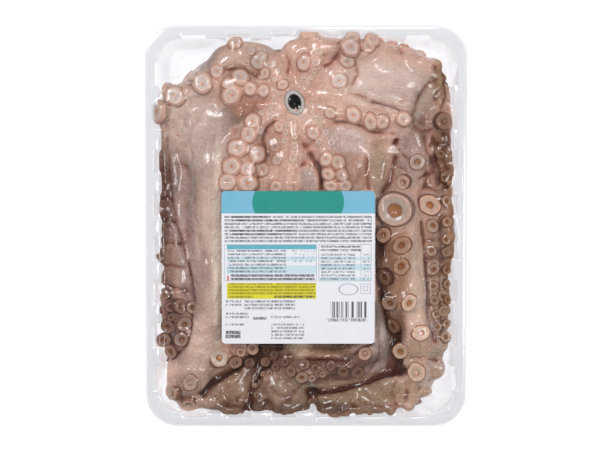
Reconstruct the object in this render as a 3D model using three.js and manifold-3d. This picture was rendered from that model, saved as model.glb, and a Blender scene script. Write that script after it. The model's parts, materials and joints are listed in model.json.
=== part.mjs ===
// A whole raw octopus packed mouth side up in a clear ribbed tray, under a skin film with a label on it.
// Frame: millimetres, +Z up, origin under the middle of the tray's base, +Y towards the octopus's mouth.
import * as THREE from "three";
import { mergeVertices } from "three/addons/utils/BufferGeometryUtils.js";
import Module from "manifold-3d";

const wasm = await Module();
wasm.setup();

// ---- Driving dimensions, in millimetres and degrees ----

const GAP = 0.4; // clearance that touching pieces keep
const JOIN_TOLERANCE = 0.05; // edges shorter than this close up where solids are joined

const TRAY = {
  width: 216,
  length: 270,
  depth: 38,
  corner: 22, // outer corner radius of the flange
  wall: 0.8,
  flange: 9.6, // from the outer edge to the cavity, between two ribs
  draft: 6, // how far the wall leans in from the flange to the floor
  footCurve: 2.6, // radius between the wall and the floor
};
const RIB = {
  alongLength: 8,
  alongWidth: 6,
  depth: 2.7,
  rootDepth: 0.9, // how deep a rib is left at the foot of the wall
  crest: 0.25, // half of a rib's flat crest, as a share of the ribs' pitch
  foot: 0.28, // half of a rib with its flanks, as a share of the pitch
  room: 0.6, // what the end ribs take of the straight side together, as a share of the pitch
};

const FILM = {
  thick: 0.4,
  sealInset: 1.0, // from the tray's edge to the film's edge
  riseInset: 3.2, // from the tray's edge to where the film may rise over the flesh
  lift: 0.6, // clearance between the flesh and the film
  shares: [1, 0.94, 0.85, 0.73, 0.58, 0.35, 0.1], // sizes of the film's rings
  cornerSteps: 3,
  sideSteps: 6,
  overlap: 0.02, // how far past a triangle's edges, as a share of it, the flesh still raises it
  bulge: 7.5, // how far the flesh may stand up over the flange before the film presses it flat
  labelMargin: 18, // the film is flat under the label and this far round it
};
const LABEL = { size: 102, corner: 2.5, thick: 0.3, centre: [-5.2, -26.5] };

const MOUTH = { centre: [-7.5, 83], lipRadii: [6.6, 9.2], lipTop: 43.5, beakRadii: [3.7, 6.0], tilt: 17 };
const BEAK = { top: 42.8, bottom: 33 };

const CROWN = { centre: [-9, 84, 20], radii: [42, 36, 20] }; // the head under the arms' bases
const MANTLE = { centre: [0, -14, 9], radii: [92, 110, 14] }; // the body bag, lying on the tray's floor
const WEB = { start: 12, thick: 6, sink: 2.5, along: 4, across: 3 };

const ARM_SIDES = 8;
const ARM_STEP = 16; // length of one section of an arm
const SUCKER = {
  sides: 6,
  nearMouth: 1.3, // radius of the first suckers
  growthLength: 62, // distance from the mouth over which they reach full size
  pitch: 2.12, // spacing in one row, in sucker radii
  rowOffset: 1.08, // distance of each row from the arm's oral line, in sucker radii
  height: 0.55, // how far the rim stands out, in sucker radii
  armShare: 0.62, // largest sucker radius as a share of the arm's radius
  smallest: 4.45, // smaller ones are left to the fine surface
  leastLift: 0.1, // ones that face lower than this, as the z of their direction, are left out
};

// Each arm's route leaves the mouth. A station is [x, y, height of the arm's top, roll], where roll is the
// way the suckers face: 0 is up, 90 is to the right of an arm seen from above and followed from the mouth.
// radii are at the mouth, at the thickest place and at the end, peak is where along the arm that place is,
// tall is the height of a section over its width, and suckers are the radii of a full-grown sucker and of the
// last one.
const ARMS = {
  top_right: {
    radii: [8, 10.5, 4],
    peak: 0.3,
    tall: 1.3,
    suckers: [4.6, 4.2],
    route: [
      [-9, 84, 40, 0], [2, 102, 42, 0], [9, 119, 45, -15], [29, 118, 43, -20], [54, 113, 38, -60],
      [76, 106, 37, -80], [87, 88, 37, -80], [90, 63, 37, -70], [91, 33, 36, -45], [89, 1, 36, -5],
      [89, -33, 35, 0], [91, -58, 32, 0], [91, -79, 27, 0], [88, -62, 15, 180], [86, -20, 15, 180],
    ],
  },
  right: {
    radii: [7.5, 15, 14],
    peak: 0.56,
    tall: 1.15,
    suckers: [6.3, 5.8],
    bigSucker: { at: 0.43, radius: 12.2 },
    route: [
      [-9, 84, 40, 0], [16, 78, 43, 15], [43, 75, 44, 35], [64, 71, 42, 30], [75, 57, 38, 0],
      [72, 39, 38, 5], [64, 14, 40, 20], [66, -22, 42, 35], [70, -56, 42, 35], [75, -82, 40, 25],
      [73, -98, 37, 0], [58, -108, 35, -70], [36, -110, 35, -120], [11, -110, 33, -130], [-10, -108, 22, 180],
    ],
  },
  lower_right: {
    radii: [8, 10.5, 8],
    peak: 0.4,
    tall: 1.2,
    suckers: [5.0, 3.8],
    route: [
      [-9, 84, 40, 0], [8, 65, 43, 0], [18, 45, 43, 0], [23, 21, 42, 0], [37, -13, 40, 30], [48, -40, 39, 55],
      [51, -66, 41, 60], [42, -84, 41, 60], [19, -92, 41, 60], [-4, -95, 40, 45], [-24, -93, 32, 0],
    ],
  },
  middle: {
    radii: [8, 16, 16],
    peak: 0.8,
    tall: 1.1,
    suckers: [5.2, 5],
    route: [
      [-9, 84, 40, 0], [-6, 61, 43, 30], [-8, 38, 43, 40], [-12, 8, 42, 90], [-7, -36, 41, 150],
      [-4, -72, 37, 180], [-11, -98, 33, 180], [-15, -120, 30, 180],
    ],
  },
  lower_left: {
    radii: [8, 11, 14],
    peak: 0.35,
    tall: 1.15,
    suckers: [5.8, 5],
    route: [
      [-9, 84, 40, 0], [-29, 73, 43, 0], [-39, 57, 43, 0], [-45, 33, 42, 0], [-45, -2, 41, 20],
      [-42, -42, 41, 60], [-43, -79, 38, 20], [-46, -102, 34, 150], [-47, -119, 30, 180],
    ],
  },
  left: {
    radii: [8, 16, 17],
    peak: 0.6,
    tall: 1.1,
    suckers: [6.4, 6],
    route: [
      [-9, 84, 38, 0], [-37, 80, 39, 120], [-60, 67, 40, 180], [-66, 38, 41, 180], [-65, -2, 42, 180],
      [-63, -42, 43, 180], [-69, -72, 42, 170], [-78, -97, 38, 110], [-76, -114, 33, 60],
    ],
  },
  far_left: {
    radii: [7.5, 11, 5.5],
    peak: 0.62,
    tall: 1.35,
    suckers: [5.4, 5],
    route: [
      [-9, 84, 40, 0], [-29, 91, 43, 0], [-47, 94, 43, 0], [-68, 96, 41, 0], [-86, 87, 38, 10],
      [-92, 67, 36, 60], [-93, 38, 35, 80], [-92, 8, 36, 85], [-88, -19, 37, 90], [-86, -42, 37, 70],
      [-86, -66, 36, 10], [-89, -82, 31, 0],
    ],
  },
  top_left: {
    radii: [8, 10.5, 6],
    peak: 0.3,
    tall: 1.2,
    suckers: [5.2, 4.5],
    route: [
      [-9, 84, 40, 0], [-19, 100, 43, 0], [-29, 112, 42, 0], [-44, 116, 40, -20], [-61, 106, 36, -90],
      [-73, 86, 27, 180], [-84, 51, 21, 180], [-85, 5, 19, 180], [-84, -52, 19, 180],
    ],
  },
};
// The web joins each pair of neighbouring arms out to these lengths of the two.
const WEBS = [
  ["top_left", 42, "top_right", 42],
  ["top_right", 150, "right", 104],
  ["right", 118, "lower_right", 98],
  ["lower_right", 84, "middle", 76],
  ["middle", 80, "lower_left", 84],
  ["lower_left", 84, "left", 84],
  ["left", 78, "far_left", 100],
  ["far_left", 70, "top_left", 60],
];

const COLOURS = {
  clear: 0xe9ebee,
  flesh: 0xb9937f,
  beak: 0x120d0c,
  label: 0xf1f1f6,
};

// ---- Shared helpers ----

const UP = new THREE.Vector3(0, 0, 1);
const radians = THREE.MathUtils.degToRad;
const blend = THREE.MathUtils.lerp;
const smooth = (t) => THREE.MathUtils.smoothstep(t, 0, 1);

/** A manifold-3d solid of a three.js geometry. */
function solidOf(geometry) {
  const bare = new THREE.BufferGeometry();
  bare.setAttribute("position", geometry.getAttribute("position"));
  if (geometry.index) bare.setIndex(geometry.index);
  const merged = mergeVertices(bare, 1e-4);
  return new wasm.Manifold(
    new wasm.Mesh({
      numProp: 3,
      vertProperties: new Float32Array(merged.attributes.position.array),
      triVerts: new Uint32Array(merged.index.array),
      tolerance: JOIN_TOLERANCE,
    }),
  );
}

/** The largest connected body of a manifold-3d solid, as a three.js geometry. */
function geometryOf(solid) {
  const bodies = solid.decompose().sort((a, b) => b.volume() - a.volume());
  const mesh = bodies[0].getMesh();
  const geometry = new THREE.BufferGeometry();
  geometry.setAttribute("position", new THREE.BufferAttribute(new Float32Array(mesh.vertProperties), 3));
  geometry.setIndex(new THREE.BufferAttribute(new Uint32Array(mesh.triVerts), 1));
  return geometry;
}

/**
 * A closed geometry through a stack of rings of equal length, shut by a fan at each end.
 * From ring number turnAt on, its quads are cut along their other diagonal.
 */
function loft(rings, turnAt = Infinity) {
  const count = rings[0].length;
  const points = rings.flat();
  const faces = [];
  for (let r = 0; r < rings.length - 1; r++) {
    for (let i = 0; i < count; i++) {
      const j = (i + 1) % count;
      const [a, b, c, d] = [r * count + i, r * count + j, (r + 1) * count + j, (r + 1) * count + i];
      if (r < turnAt) faces.push(a, b, c, a, c, d);
      else faces.push(a, b, d, b, c, d);
    }
  }
  for (const [ring, start, flip] of [[rings[0], 0, true], [rings.at(-1), (rings.length - 1) * count, false]]) {
    const hub = points.length;
    points.push(ring.reduce((sum, p) => sum.add(p), new THREE.Vector3()).divideScalar(count));
    for (let i = 0; i < count; i++) {
      const j = (i + 1) % count;
      faces.push(hub, start + (flip ? j : i), start + (flip ? i : j));
    }
  }
  const geometry = new THREE.BufferGeometry().setFromPoints(points);
  geometry.setIndex(faces);
  return geometry;
}

/** A rounded rectangle at height z, counter-clockwise from above, with its sides cut into sideSteps. */
function roundedRectangle(halfWidth, halfLength, radius, z, cornerSteps = 4, sideSteps = 1) {
  const corners = [];
  const centres = [[1, 1, 0], [-1, 1, 90], [-1, -1, 180], [1, -1, 270]];
  for (const [sx, sy, start] of centres) {
    for (let i = 0; i <= cornerSteps; i++) {
      const angle = radians(start + (90 * i) / cornerSteps);
      const x = sx * (halfWidth - radius) + radius * Math.cos(angle);
      const y = sy * (halfLength - radius) + radius * Math.sin(angle);
      corners.push(new THREE.Vector3(x, y, z));
    }
  }
  const ring = [];
  corners.forEach((corner, i) => {
    ring.push(corner);
    const next = corners[(i + 1) % corners.length];
    const endsArc = (i + 1) % (cornerSteps + 1) === 0;
    for (let k = 1; endsArc && k < sideSteps; k++) ring.push(corner.clone().lerp(next, k / sideSteps));
  });
  return ring;
}

// ---- Tray ----

/** Radius of the tray's corners at an inset from its outer edge. */
const cornerRadius = (inset) => TRAY.corner - 0.78 * inset;

/** The tray's outline at height z, with ribs that stand out by ribDepth and are spread by the wall. */
function trayOutline(inset, ribDepth, z, spread = 0) {
  const halfWidth = TRAY.width / 2 - inset;
  const halfLength = TRAY.length / 2 - inset;
  const radius = cornerRadius(inset);
  const sides = [
    { normal: [1, 0], along: [0, 1], half: halfWidth, straight: halfLength - radius, ribs: RIB.alongLength },
    { normal: [0, 1], along: [-1, 0], half: halfLength, straight: halfWidth - radius, ribs: RIB.alongWidth },
    { normal: [-1, 0], along: [0, -1], half: halfWidth, straight: halfLength - radius, ribs: RIB.alongLength },
    { normal: [0, -1], along: [1, 0], half: halfLength, straight: halfWidth - radius, ribs: RIB.alongWidth },
  ];
  const corners = roundedRectangle(halfWidth, halfLength, radius, z);
  const perCorner = corners.length / 4;
  const ring = [];
  sides.forEach(({ normal, along, half, straight, ribs }, side) => {
    const pitch = (2 * straight) / (ribs - 1 + RIB.room);
    for (let k = 0; k < ribs; k++) {
      const middle = (k - (ribs - 1) / 2) * pitch;
      for (const [end, share, out] of [[-1, RIB.foot, 0], [-1, RIB.crest, 1], [1, RIB.crest, 1], [1, RIB.foot, 0]]) {
        const t = middle + end * (share * pitch + spread);
        const reach = half + out * ribDepth;
        ring.push(new THREE.Vector3(normal[0] * reach + along[0] * t, normal[1] * reach + along[1] * t, z));
      }
    }
    ring.push(...corners.slice(side * perCorner, (side + 1) * perCorner));
  });
  return ring;
}

/** The thin ribbed tray: its outside from the base up to the flange, then its inside back down. */
function makeTray() {
  const { depth, wall, flange, draft, footCurve } = TRAY;
  const spread = wall * 0.6;
  const rings = [
    trayOutline(flange + draft + footCurve - wall, 0, 0, spread),
    trayOutline(flange + draft - wall, RIB.rootDepth, footCurve, spread),
    trayOutline(flange - wall, RIB.depth, depth - wall, spread),
    trayOutline(0, 0, depth - wall, spread),
    trayOutline(0, 0, depth),
    trayOutline(flange, RIB.depth, depth),
    trayOutline(flange + draft, RIB.rootDepth, footCurve + wall),
    trayOutline(flange + draft + footCurve, 0, wall),
  ];
  return loft(rings);
}

/** The room that the food may fill: the cavity, and over the flange the space under the film. */
function makeRoom() {
  const { width, length, depth, wall, flange, draft, footCurve } = TRAY;
  const level = (inset, z) => roundedRectangle(width / 2 - inset, length / 2 - inset, cornerRadius(inset), z);
  const overFlange = FILM.riseInset + GAP;
  return solidOf(
    loft([
      level(flange + draft + footCurve + GAP, wall + GAP),
      level(flange + draft + GAP, footCurve + wall + GAP),
      level(flange + GAP, depth + GAP),
      level(overFlange, depth + FILM.thick + GAP),
      level(overFlange, depth + FILM.bulge),
    ]),
  );
}

// ---- Octopus ----

/** An arm as a curve with its radius, roll and section axes at any share u of its length. */
class Arm {
  constructor(sizes) {
    Object.assign(this, sizes);
    const stations = this.route.map(([x, y, top]) => new THREE.Vector3(x, y, top));
    this.tops = new THREE.CatmullRomCurve3(stations, false, "centripetal");
    this.length = this.tops.getLength();
  }

  /** Radius at u, which closes to a blunt round end over the arm's last radius. */
  radius(u) {
    const [base, widest, tip] = this.radii;
    const full =
      u < this.peak
        ? blend(base, widest, smooth(u / this.peak))
        : blend(widest, tip, smooth((u - this.peak) / (1 - this.peak)));
    const left = ((1 - u) * this.length) / tip;
    return full * Math.sqrt(Math.min(1, 0.2 + left));
  }

  /** Centre, tangent, side and lift of the section at u; the route's height is the arm's top. */
  section(u) {
    const centre = this.tops.getPointAt(u);
    centre.z -= this.tall * this.radius(u);
    const tangent = this.tops.getTangentAt(u);
    const side = new THREE.Vector3().crossVectors(tangent, UP).normalize();
    const lift = new THREE.Vector3().crossVectors(side, tangent).normalize();
    return { centre, tangent, side, lift };
  }

  /** Roll at u, between those of the two stations on either side. */
  roll(u) {
    const t = this.tops.getUtoTmapping(u) * (this.route.length - 1);
    const k = Math.min(Math.floor(t), this.route.length - 2);
    return radians(blend(this.route[k][3], this.route[k + 1][3], smooth(t - k)));
  }

  /** A point on the arm's skin at u, at an angle from straight up towards its right. */
  skin(u, angle) {
    const { centre, side, lift } = this.section(u);
    const r = this.radius(u);
    return centre
      .addScaledVector(side, r * Math.sin(angle))
      .addScaledVector(lift, this.tall * r * Math.cos(angle));
  }

  solid() {
    const steps = Math.ceil(this.length / ARM_STEP);
    const rings = [];
    for (let k = 0; k <= steps; k++) {
      const ring = [];
      for (let i = 0; i < ARM_SIDES; i++) ring.push(this.skin(k / steps, (-2 * Math.PI * (i + 0.5)) / ARM_SIDES));
      rings.push(ring);
    }
    return solidOf(loft(rings.reverse()));
  }

  /** True if a point lies inside this arm. */
  holds(point) {
    const samples = Math.ceil(this.length / 5);
    for (let k = 0; k <= samples; k++) {
      const { centre } = this.section(k / samples);
      const r = this.radius(k / samples);
      const flat = Math.hypot(point.x - centre.x, point.y - centre.y) / r;
      const rise = (point.z - centre.z) / (r * this.tall);
      if (Math.hypot(flat, rise) < 0.96) return true;
    }
    return false;
  }

  suckerRadius(u) {
    const grown = Math.min(1, (u * this.length) / SUCKER.growthLength);
    const full = blend(this.suckers[0], this.suckers[1], smooth(Math.max(0, 2 * u - 1)));
    return blend(SUCKER.nearMouth, Math.min(full, this.radius(u) * SUCKER.armShare), grown);
  }
}

/** Where an arm's two alternating rows of suckers stand: centre, outward direction and radius of each. */
function suckersOf(arm) {
  const found = [];
  let row = 1;
  for (let u = 10 / arm.length; u < 0.985; row = -row) {
    let radius = arm.suckerRadius(u);
    let offset = row * SUCKER.rowOffset * radius;
    const big = arm.bigSucker;
    const pitch = (SUCKER.pitch * radius) / 2 / arm.length;
    if (big && Math.abs(u - big.at) < pitch / 2) {
      radius = big.radius;
      offset = 0;
    }
    const angle = arm.roll(u) + offset / arm.radius(u);
    const centre = arm.skin(u, angle);
    const out = centre.clone().sub(arm.section(u).centre).normalize();
    found.push({ centre, out, radius });
    u += pitch;
  }
  return found;
}

/** The middle of a sucker's rim. */
const rimOf = ({ centre, out, radius }) => centre.clone().addScaledVector(out, SUCKER.height * radius);

/** True for a sucker that is large, faces up and isn't pressed flat under the label. */
function showsPlainly({ centre, out, radius }) {
  const [dx, dy] = [centre.x - LABEL.centre[0], centre.y - LABEL.centre[1]];
  const labelled = Math.max(Math.abs(dx), Math.abs(dy)) < LABEL.size / 2 - SUCKER.smallest;
  return radius >= SUCKER.smallest && out.z > SUCKER.leastLift && !labelled;
}

/** One sucker: a short stalk with a flat rim round a cup. */
function suckerSolid({ centre, out, radius }) {
  const rim = SUCKER.height * radius;
  const profile = [[0, -radius], [1, rim], [0.76, rim], [0, rim * 0.1]];
  const outline = profile.map(([share, z]) => new THREE.Vector2(share * radius, z));
  const turned = new THREE.LatheGeometry(outline, SUCKER.sides);
  turned.rotateX(Math.PI / 2);
  const facing = new THREE.Quaternion().setFromUnitVectors(UP, out);
  turned.applyQuaternion(facing).translate(centre.x, centre.y, centre.z);
  return solidOf(turned);
}

/** The web between two neighbouring arms, a thick sheet that sags between them out to its two reaches. */
function webSolid(one, reachOne, other, reachOther) {
  const strip = (level) => {
    const rows = [];
    for (let i = 0; i <= WEB.along; i++) {
      const a = one.tops.getPointAt(blend(WEB.start, reachOne, i / WEB.along) / one.length);
      const b = other.tops.getPointAt(blend(WEB.start, reachOther, i / WEB.along) / other.length);
      const row = [];
      for (let j = 0; j <= WEB.across; j++) {
        const t = j / WEB.across;
        const point = a.clone().lerp(b, t);
        point.z -= WEB.sink * (1 + 2 * Math.sin(Math.PI * t)) + level * WEB.thick;
        row.push(point);
      }
      rows.push(row);
    }
    return rows;
  };
  const [top, bottom] = [strip(0), strip(1)];
  return solidOf(loft(top.map((row, i) => [...row, ...bottom[i].toReversed()])));
}

/** An ellipsoid with its centre and radii. */
function ellipsoid({ centre, radii }, across = 14, down = 8) {
  return solidOf(new THREE.SphereGeometry(1, across, down).scale(...radii).translate(...centre));
}

/** The ring of lips round the beak, as a turned ring stretched to an oval. */
function lipSolid() {
  const outline = [[0, -9], [1.35, -9], [1.25, -1.2], [1, 0], [0.78, -0.8], [0, -1.6]];
  const turned = new THREE.LatheGeometry(outline.map(([x, y]) => new THREE.Vector2(x, y)), 14);
  turned.rotateX(Math.PI / 2).scale(MOUTH.lipRadii[0], MOUTH.lipRadii[1], 1);
  return solidOf(turned.rotateZ(radians(MOUTH.tilt)).translate(...MOUTH.centre, MOUTH.lipTop));
}

/** An oval plug in the mouth, turned from an outline of shares of the beak's radii and height. */
function mouthPlug(outline, clearance) {
  const [rx, ry] = MOUTH.beakRadii.map((r) => r + clearance);
  const height = BEAK.top - BEAK.bottom;
  const turned = new THREE.LatheGeometry(outline.map(([x, y]) => new THREE.Vector2(x, y * height)), 12);
  turned.rotateX(Math.PI / 2).scale(rx, ry, 1);
  return turned.rotateZ(radians(MOUTH.tilt)).translate(...MOUTH.centre, BEAK.bottom - clearance);
}

/** The beak's two closed mandibles as one blunt oval. */
const beakGeometry = () => mouthPlug([[0, 0], [1, 0], [1, 0.74], [0.7, 0.93], [0, 1]], 0);

/** The pocket round the beak, open to the top. */
const beakPocket = () => solidOf(mouthPlug([[0, 0], [1, 0], [1, 0.8], [1.12, 1.5], [0, 1.5]], GAP));

/** The whole octopus as one solid, kept within the room that the tray and film leave. */
function makeOctopus() {
  const arms = Object.fromEntries(Object.entries(ARMS).map(([name, sizes]) => [name, new Arm(sizes)]));
  const all = Object.values(arms);
  const parts = all.map((arm) => arm.solid());
  for (const [one, out, other, outOther] of WEBS) parts.push(webSolid(arms[one], out, arms[other], outOther));
  parts.push(ellipsoid(CROWN), ellipsoid(MANTLE), lipSolid());
  for (const arm of all) {
    for (const sucker of suckersOf(arm)) {
      if (showsPlainly(sucker) && !all.some((other) => other !== arm && other.holds(rimOf(sucker)))) {
        parts.push(suckerSolid(sucker));
      }
    }
  }
  const joined = wasm.Manifold.union(parts);
  return geometryOf(joined.intersect(makeRoom()).subtract(beakPocket()));
}

// ---- Film and label ----

/** Points close together over every face of a geometry, enough to find its height anywhere. */
function surfaceSamples(geometry, spacing = 3) {
  const at = geometry.getAttribute("position");
  const index = geometry.index.array;
  const samples = [];
  for (let f = 0; f < index.length; f += 3) {
    const [a, b, c] = [0, 1, 2].map((k) => new THREE.Vector3().fromBufferAttribute(at, index[f + k]));
    const steps = Math.max(1, Math.ceil(Math.max(a.distanceTo(b), b.distanceTo(c), c.distanceTo(a)) / spacing));
    for (let i = 0; i <= steps; i++) {
      for (let j = 0; j <= steps - i; j++) {
        samples.push(a.clone().lerp(b, i / steps).addScaledVector(c.clone().sub(a), j / steps));
      }
    }
  }
  return samples.filter((p) => p.z > TRAY.depth * 0.8);
}

/** Raises the corners of each triangle in plan above all samples that lie under it. */
function raiseOver(points, faces, samples) {
  for (let f = 0; f < faces.length; f += 3) {
    const corners = [0, 1, 2].map((k) => points[faces[f + k]]);
    const [a, b, c] = corners;
    const area = (b.x - a.x) * (c.y - a.y) - (c.x - a.x) * (b.y - a.y);
    for (const p of samples) {
      const atB = ((p.x - a.x) * (c.y - a.y) - (c.x - a.x) * (p.y - a.y)) / area;
      const atC = ((b.x - a.x) * (p.y - a.y) - (p.x - a.x) * (b.y - a.y)) / area;
      if (Math.min(atB, atC, 1 - atB - atC) < -FILM.overlap) continue;
      corners.forEach((corner) => corner.setZ(Math.max(corner.z, p.z + FILM.lift)));
    }
  }
}

/** The film's lower side as rings from its sealed edge to its middle, drawn down over the samples. */
function drape(samples) {
  const { width, length, depth } = TRAY;
  const { cornerSteps, sideSteps } = FILM;
  const ring = (inset, share) => {
    const [halfWidth, halfLength] = [width / 2 - inset, length / 2 - inset];
    const full = roundedRectangle(halfWidth, halfLength, cornerRadius(inset), depth + GAP, cornerSteps, sideSteps);
    return full.map((p) => p.set(p.x * share, p.y * share, p.z));
  };
  const rings = [ring(FILM.sealInset, 1), ...FILM.shares.map((share) => ring(FILM.riseInset, share))];
  const risen = rings.slice(1).toReversed();
  const faces = [...loft(risen).index.array].slice(0, -3 * rings[0].length);
  raiseOver([...risen.flat(), new THREE.Vector3(0, 0, depth)], faces, samples);
  const reach = LABEL.size / 2 + FILM.labelMargin;
  const underLabel = rings.flat().filter(({ x, y }) => {
    return Math.max(Math.abs(x - LABEL.centre[0]), Math.abs(y - LABEL.centre[1])) < reach;
  });
  const plateau = Math.max(...underLabel.map((p) => p.z));
  underLabel.forEach((p) => p.setZ(plateau));
  return { rings, plateau };
}

/** The film: its lower side, and its upper side one thickness above with the same triangles. */
function filmGeometry(rings) {
  const upper = rings.map((ring) => ring.map((p) => p.clone().setZ(p.z + FILM.thick)));
  return loft([...rings.toReversed(), ...upper], rings.length);
}

/** The label, a thin square card with rounded corners that lies on the film. */
function labelGeometry(base) {
  const half = LABEL.size / 2;
  const outline = roundedRectangle(half, half, LABEL.corner, 0, 3).map((p) => new THREE.Vector2(p.x, p.y));
  const card = new THREE.ExtrudeGeometry(new THREE.Shape(outline), { depth: LABEL.thick, bevelEnabled: false });
  return card.translate(...LABEL.centre, base);
}

// ---- The whole pack ----

const clear = { transparent: true, opacity: 0.25, roughness: 0.08, metalness: 0 };
const materials = {
  tray: new THREE.MeshStandardMaterial({ color: COLOURS.clear, ...clear }),
  film: new THREE.MeshStandardMaterial({ color: COLOURS.clear, ...clear }),
  octopus: new THREE.MeshStandardMaterial({ color: COLOURS.flesh, roughness: 0.3, metalness: 0 }),
  beak: new THREE.MeshStandardMaterial({ color: COLOURS.beak, roughness: 0.25, metalness: 0 }),
  label: new THREE.MeshStandardMaterial({ color: COLOURS.label, roughness: 0.4, metalness: 0 }),
};

const octopus = makeOctopus();
const { rings, plateau } = drape(surfaceSamples(octopus));
const geometries = {
  tray: makeTray(),
  octopus,
  beak: beakGeometry(),
  film: filmGeometry(rings),
  label: labelGeometry(plateau + FILM.thick + GAP),
};

const pack = new THREE.Group();
pack.name = "octopus_pack";
for (const [name, geometry] of Object.entries(geometries)) {
  const piece = new THREE.Mesh(geometry, materials[name]);
  piece.name = name;
  pack.add(piece);
}

export default pack;
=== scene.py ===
"""A whole raw octopus packed mouth side up in a clear ribbed tray under a skin film.

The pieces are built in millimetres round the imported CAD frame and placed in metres: the flesh with its
suckers, lips and beak, the tray, the film and its label, and a plain studio.
"""

import json
import logging
import math
import random
from collections.abc import Iterable, Sequence
from dataclasses import dataclass, field
from enum import Enum
from itertools import pairwise
from typing import Any

import bmesh
import bpy
import numpy as np
from mathutils import Matrix, Vector, noise
from mathutils.bvhtree import BVHTree
from mathutils.kdtree import KDTree

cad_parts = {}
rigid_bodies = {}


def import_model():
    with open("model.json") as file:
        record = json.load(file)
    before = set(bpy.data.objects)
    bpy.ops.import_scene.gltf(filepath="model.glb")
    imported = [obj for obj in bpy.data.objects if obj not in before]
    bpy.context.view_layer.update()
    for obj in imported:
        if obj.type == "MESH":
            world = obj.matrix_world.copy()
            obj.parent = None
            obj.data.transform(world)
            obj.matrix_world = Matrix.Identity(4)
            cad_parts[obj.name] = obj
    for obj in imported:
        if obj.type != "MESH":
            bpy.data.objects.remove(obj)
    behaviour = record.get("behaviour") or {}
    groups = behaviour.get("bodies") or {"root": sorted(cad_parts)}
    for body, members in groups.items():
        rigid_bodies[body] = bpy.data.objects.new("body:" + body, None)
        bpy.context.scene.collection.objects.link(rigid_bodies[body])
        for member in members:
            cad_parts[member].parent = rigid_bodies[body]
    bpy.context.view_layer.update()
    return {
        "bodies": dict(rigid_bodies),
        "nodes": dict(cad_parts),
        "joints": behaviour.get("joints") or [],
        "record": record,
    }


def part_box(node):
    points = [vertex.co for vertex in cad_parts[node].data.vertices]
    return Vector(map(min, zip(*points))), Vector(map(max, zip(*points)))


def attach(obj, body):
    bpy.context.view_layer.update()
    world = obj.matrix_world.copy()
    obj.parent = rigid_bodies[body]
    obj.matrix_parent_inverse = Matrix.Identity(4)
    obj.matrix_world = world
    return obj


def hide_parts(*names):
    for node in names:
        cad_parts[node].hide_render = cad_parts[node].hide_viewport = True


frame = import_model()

LOG = logging.getLogger("octopus_pack")
MM = 0.001
UP = Vector((0.0, 0.0, 1.0))
DOWN = -UP
SKY = 90.0  # a height above everything, from which rays look down
CURVE_STEPS = 32  # between two stations of a smooth line
SEED = 8

Colour = tuple[float, float, float, float]
Place = tuple[float, float]
Patches = Sequence[tuple[Place, Place]]  # middles and half sizes


def linear(red: float, green: float, blue: float) -> Colour:
    """A screen colour of 0 to 255 as the renderer's linear values."""
    parts = (value / 255.0 for value in (red, green, blue))
    return (*(p / 12.92 if p <= 0.04045 else ((p + 0.055) / 1.055) ** 2.4 for p in parts), 1.0)


def eased(share: np.ndarray | float) -> np.ndarray:
    """A share held to 0 to 1 that starts and ends gently."""
    held = np.clip(share, 0.0, 1.0)
    return held * held * (3.0 - 2.0 * held)


WHITE = (1.0, 1.0, 1.0, 1.0)
FROST = linear(241, 242, 243)
LABEL_MIDDLE: Place = (-5.2, -26.5)


# ---- Shader graphs ----


class Value:
    """A node's number output whose operators add the Math nodes of an expression."""

    def __init__(self, graph: "Graph", socket: bpy.types.NodeSocket) -> None:
        """Wraps an output of a material's node."""
        self.graph = graph
        self.socket = socket

    def __add__(self, other: "Value | float") -> "Value":
        """The sum."""
        return self.graph.math("ADD", self, other)

    def __sub__(self, other: "Value | float") -> "Value":
        """The difference."""
        return self.graph.math("SUBTRACT", self, other)

    def __rsub__(self, other: "Value | float") -> "Value":
        """The difference from a number."""
        return self.graph.math("SUBTRACT", other, self)

    def __mul__(self, other: "Value | float") -> "Value":
        """The product."""
        return self.graph.math("MULTIPLY", self, other)

    def __truediv__(self, other: "Value | float") -> "Value":
        """The quotient."""
        return self.graph.math("DIVIDE", self, other)

    def __pow__(self, other: "Value | float") -> "Value":
        """The power."""
        return self.graph.math("POWER", self, other)

    __radd__, __rmul__ = __add__, __mul__

    def above(self, edge: "Value | float") -> "Value":
        """1 where the value is over an edge, else 0."""
        return self.graph.math("GREATER_THAN", self, edge)

    def below(self, edge: "Value | float") -> "Value":
        """1 where the value is under an edge, else 0."""
        return self.graph.math("LESS_THAN", self, edge)

    def least(self, other: "Value | float") -> "Value":
        """The smaller of two."""
        return self.graph.math("MINIMUM", self, other)

    def size(self) -> "Value":
        """The value without its sign."""
        return self.graph.math("ABSOLUTE", self)

    def whole(self) -> "Value":
        """The value rounded down."""
        return self.graph.math("FLOOR", self)

    def rest(self) -> "Value":
        """The part after the decimal point."""
        return self.graph.math("FRACT", self)

    def ramp(self, low: float, high: float) -> "Value":
        """How far the value has gone from one number to another, held to 0 to 1 and eased."""
        inputs = {"Value": self, "From Min": low, "From Max": high}
        return self.graph.value("ShaderNodeMapRange", {"interpolation_type": "SMOOTHSTEP"}, inputs, "Result")


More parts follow.
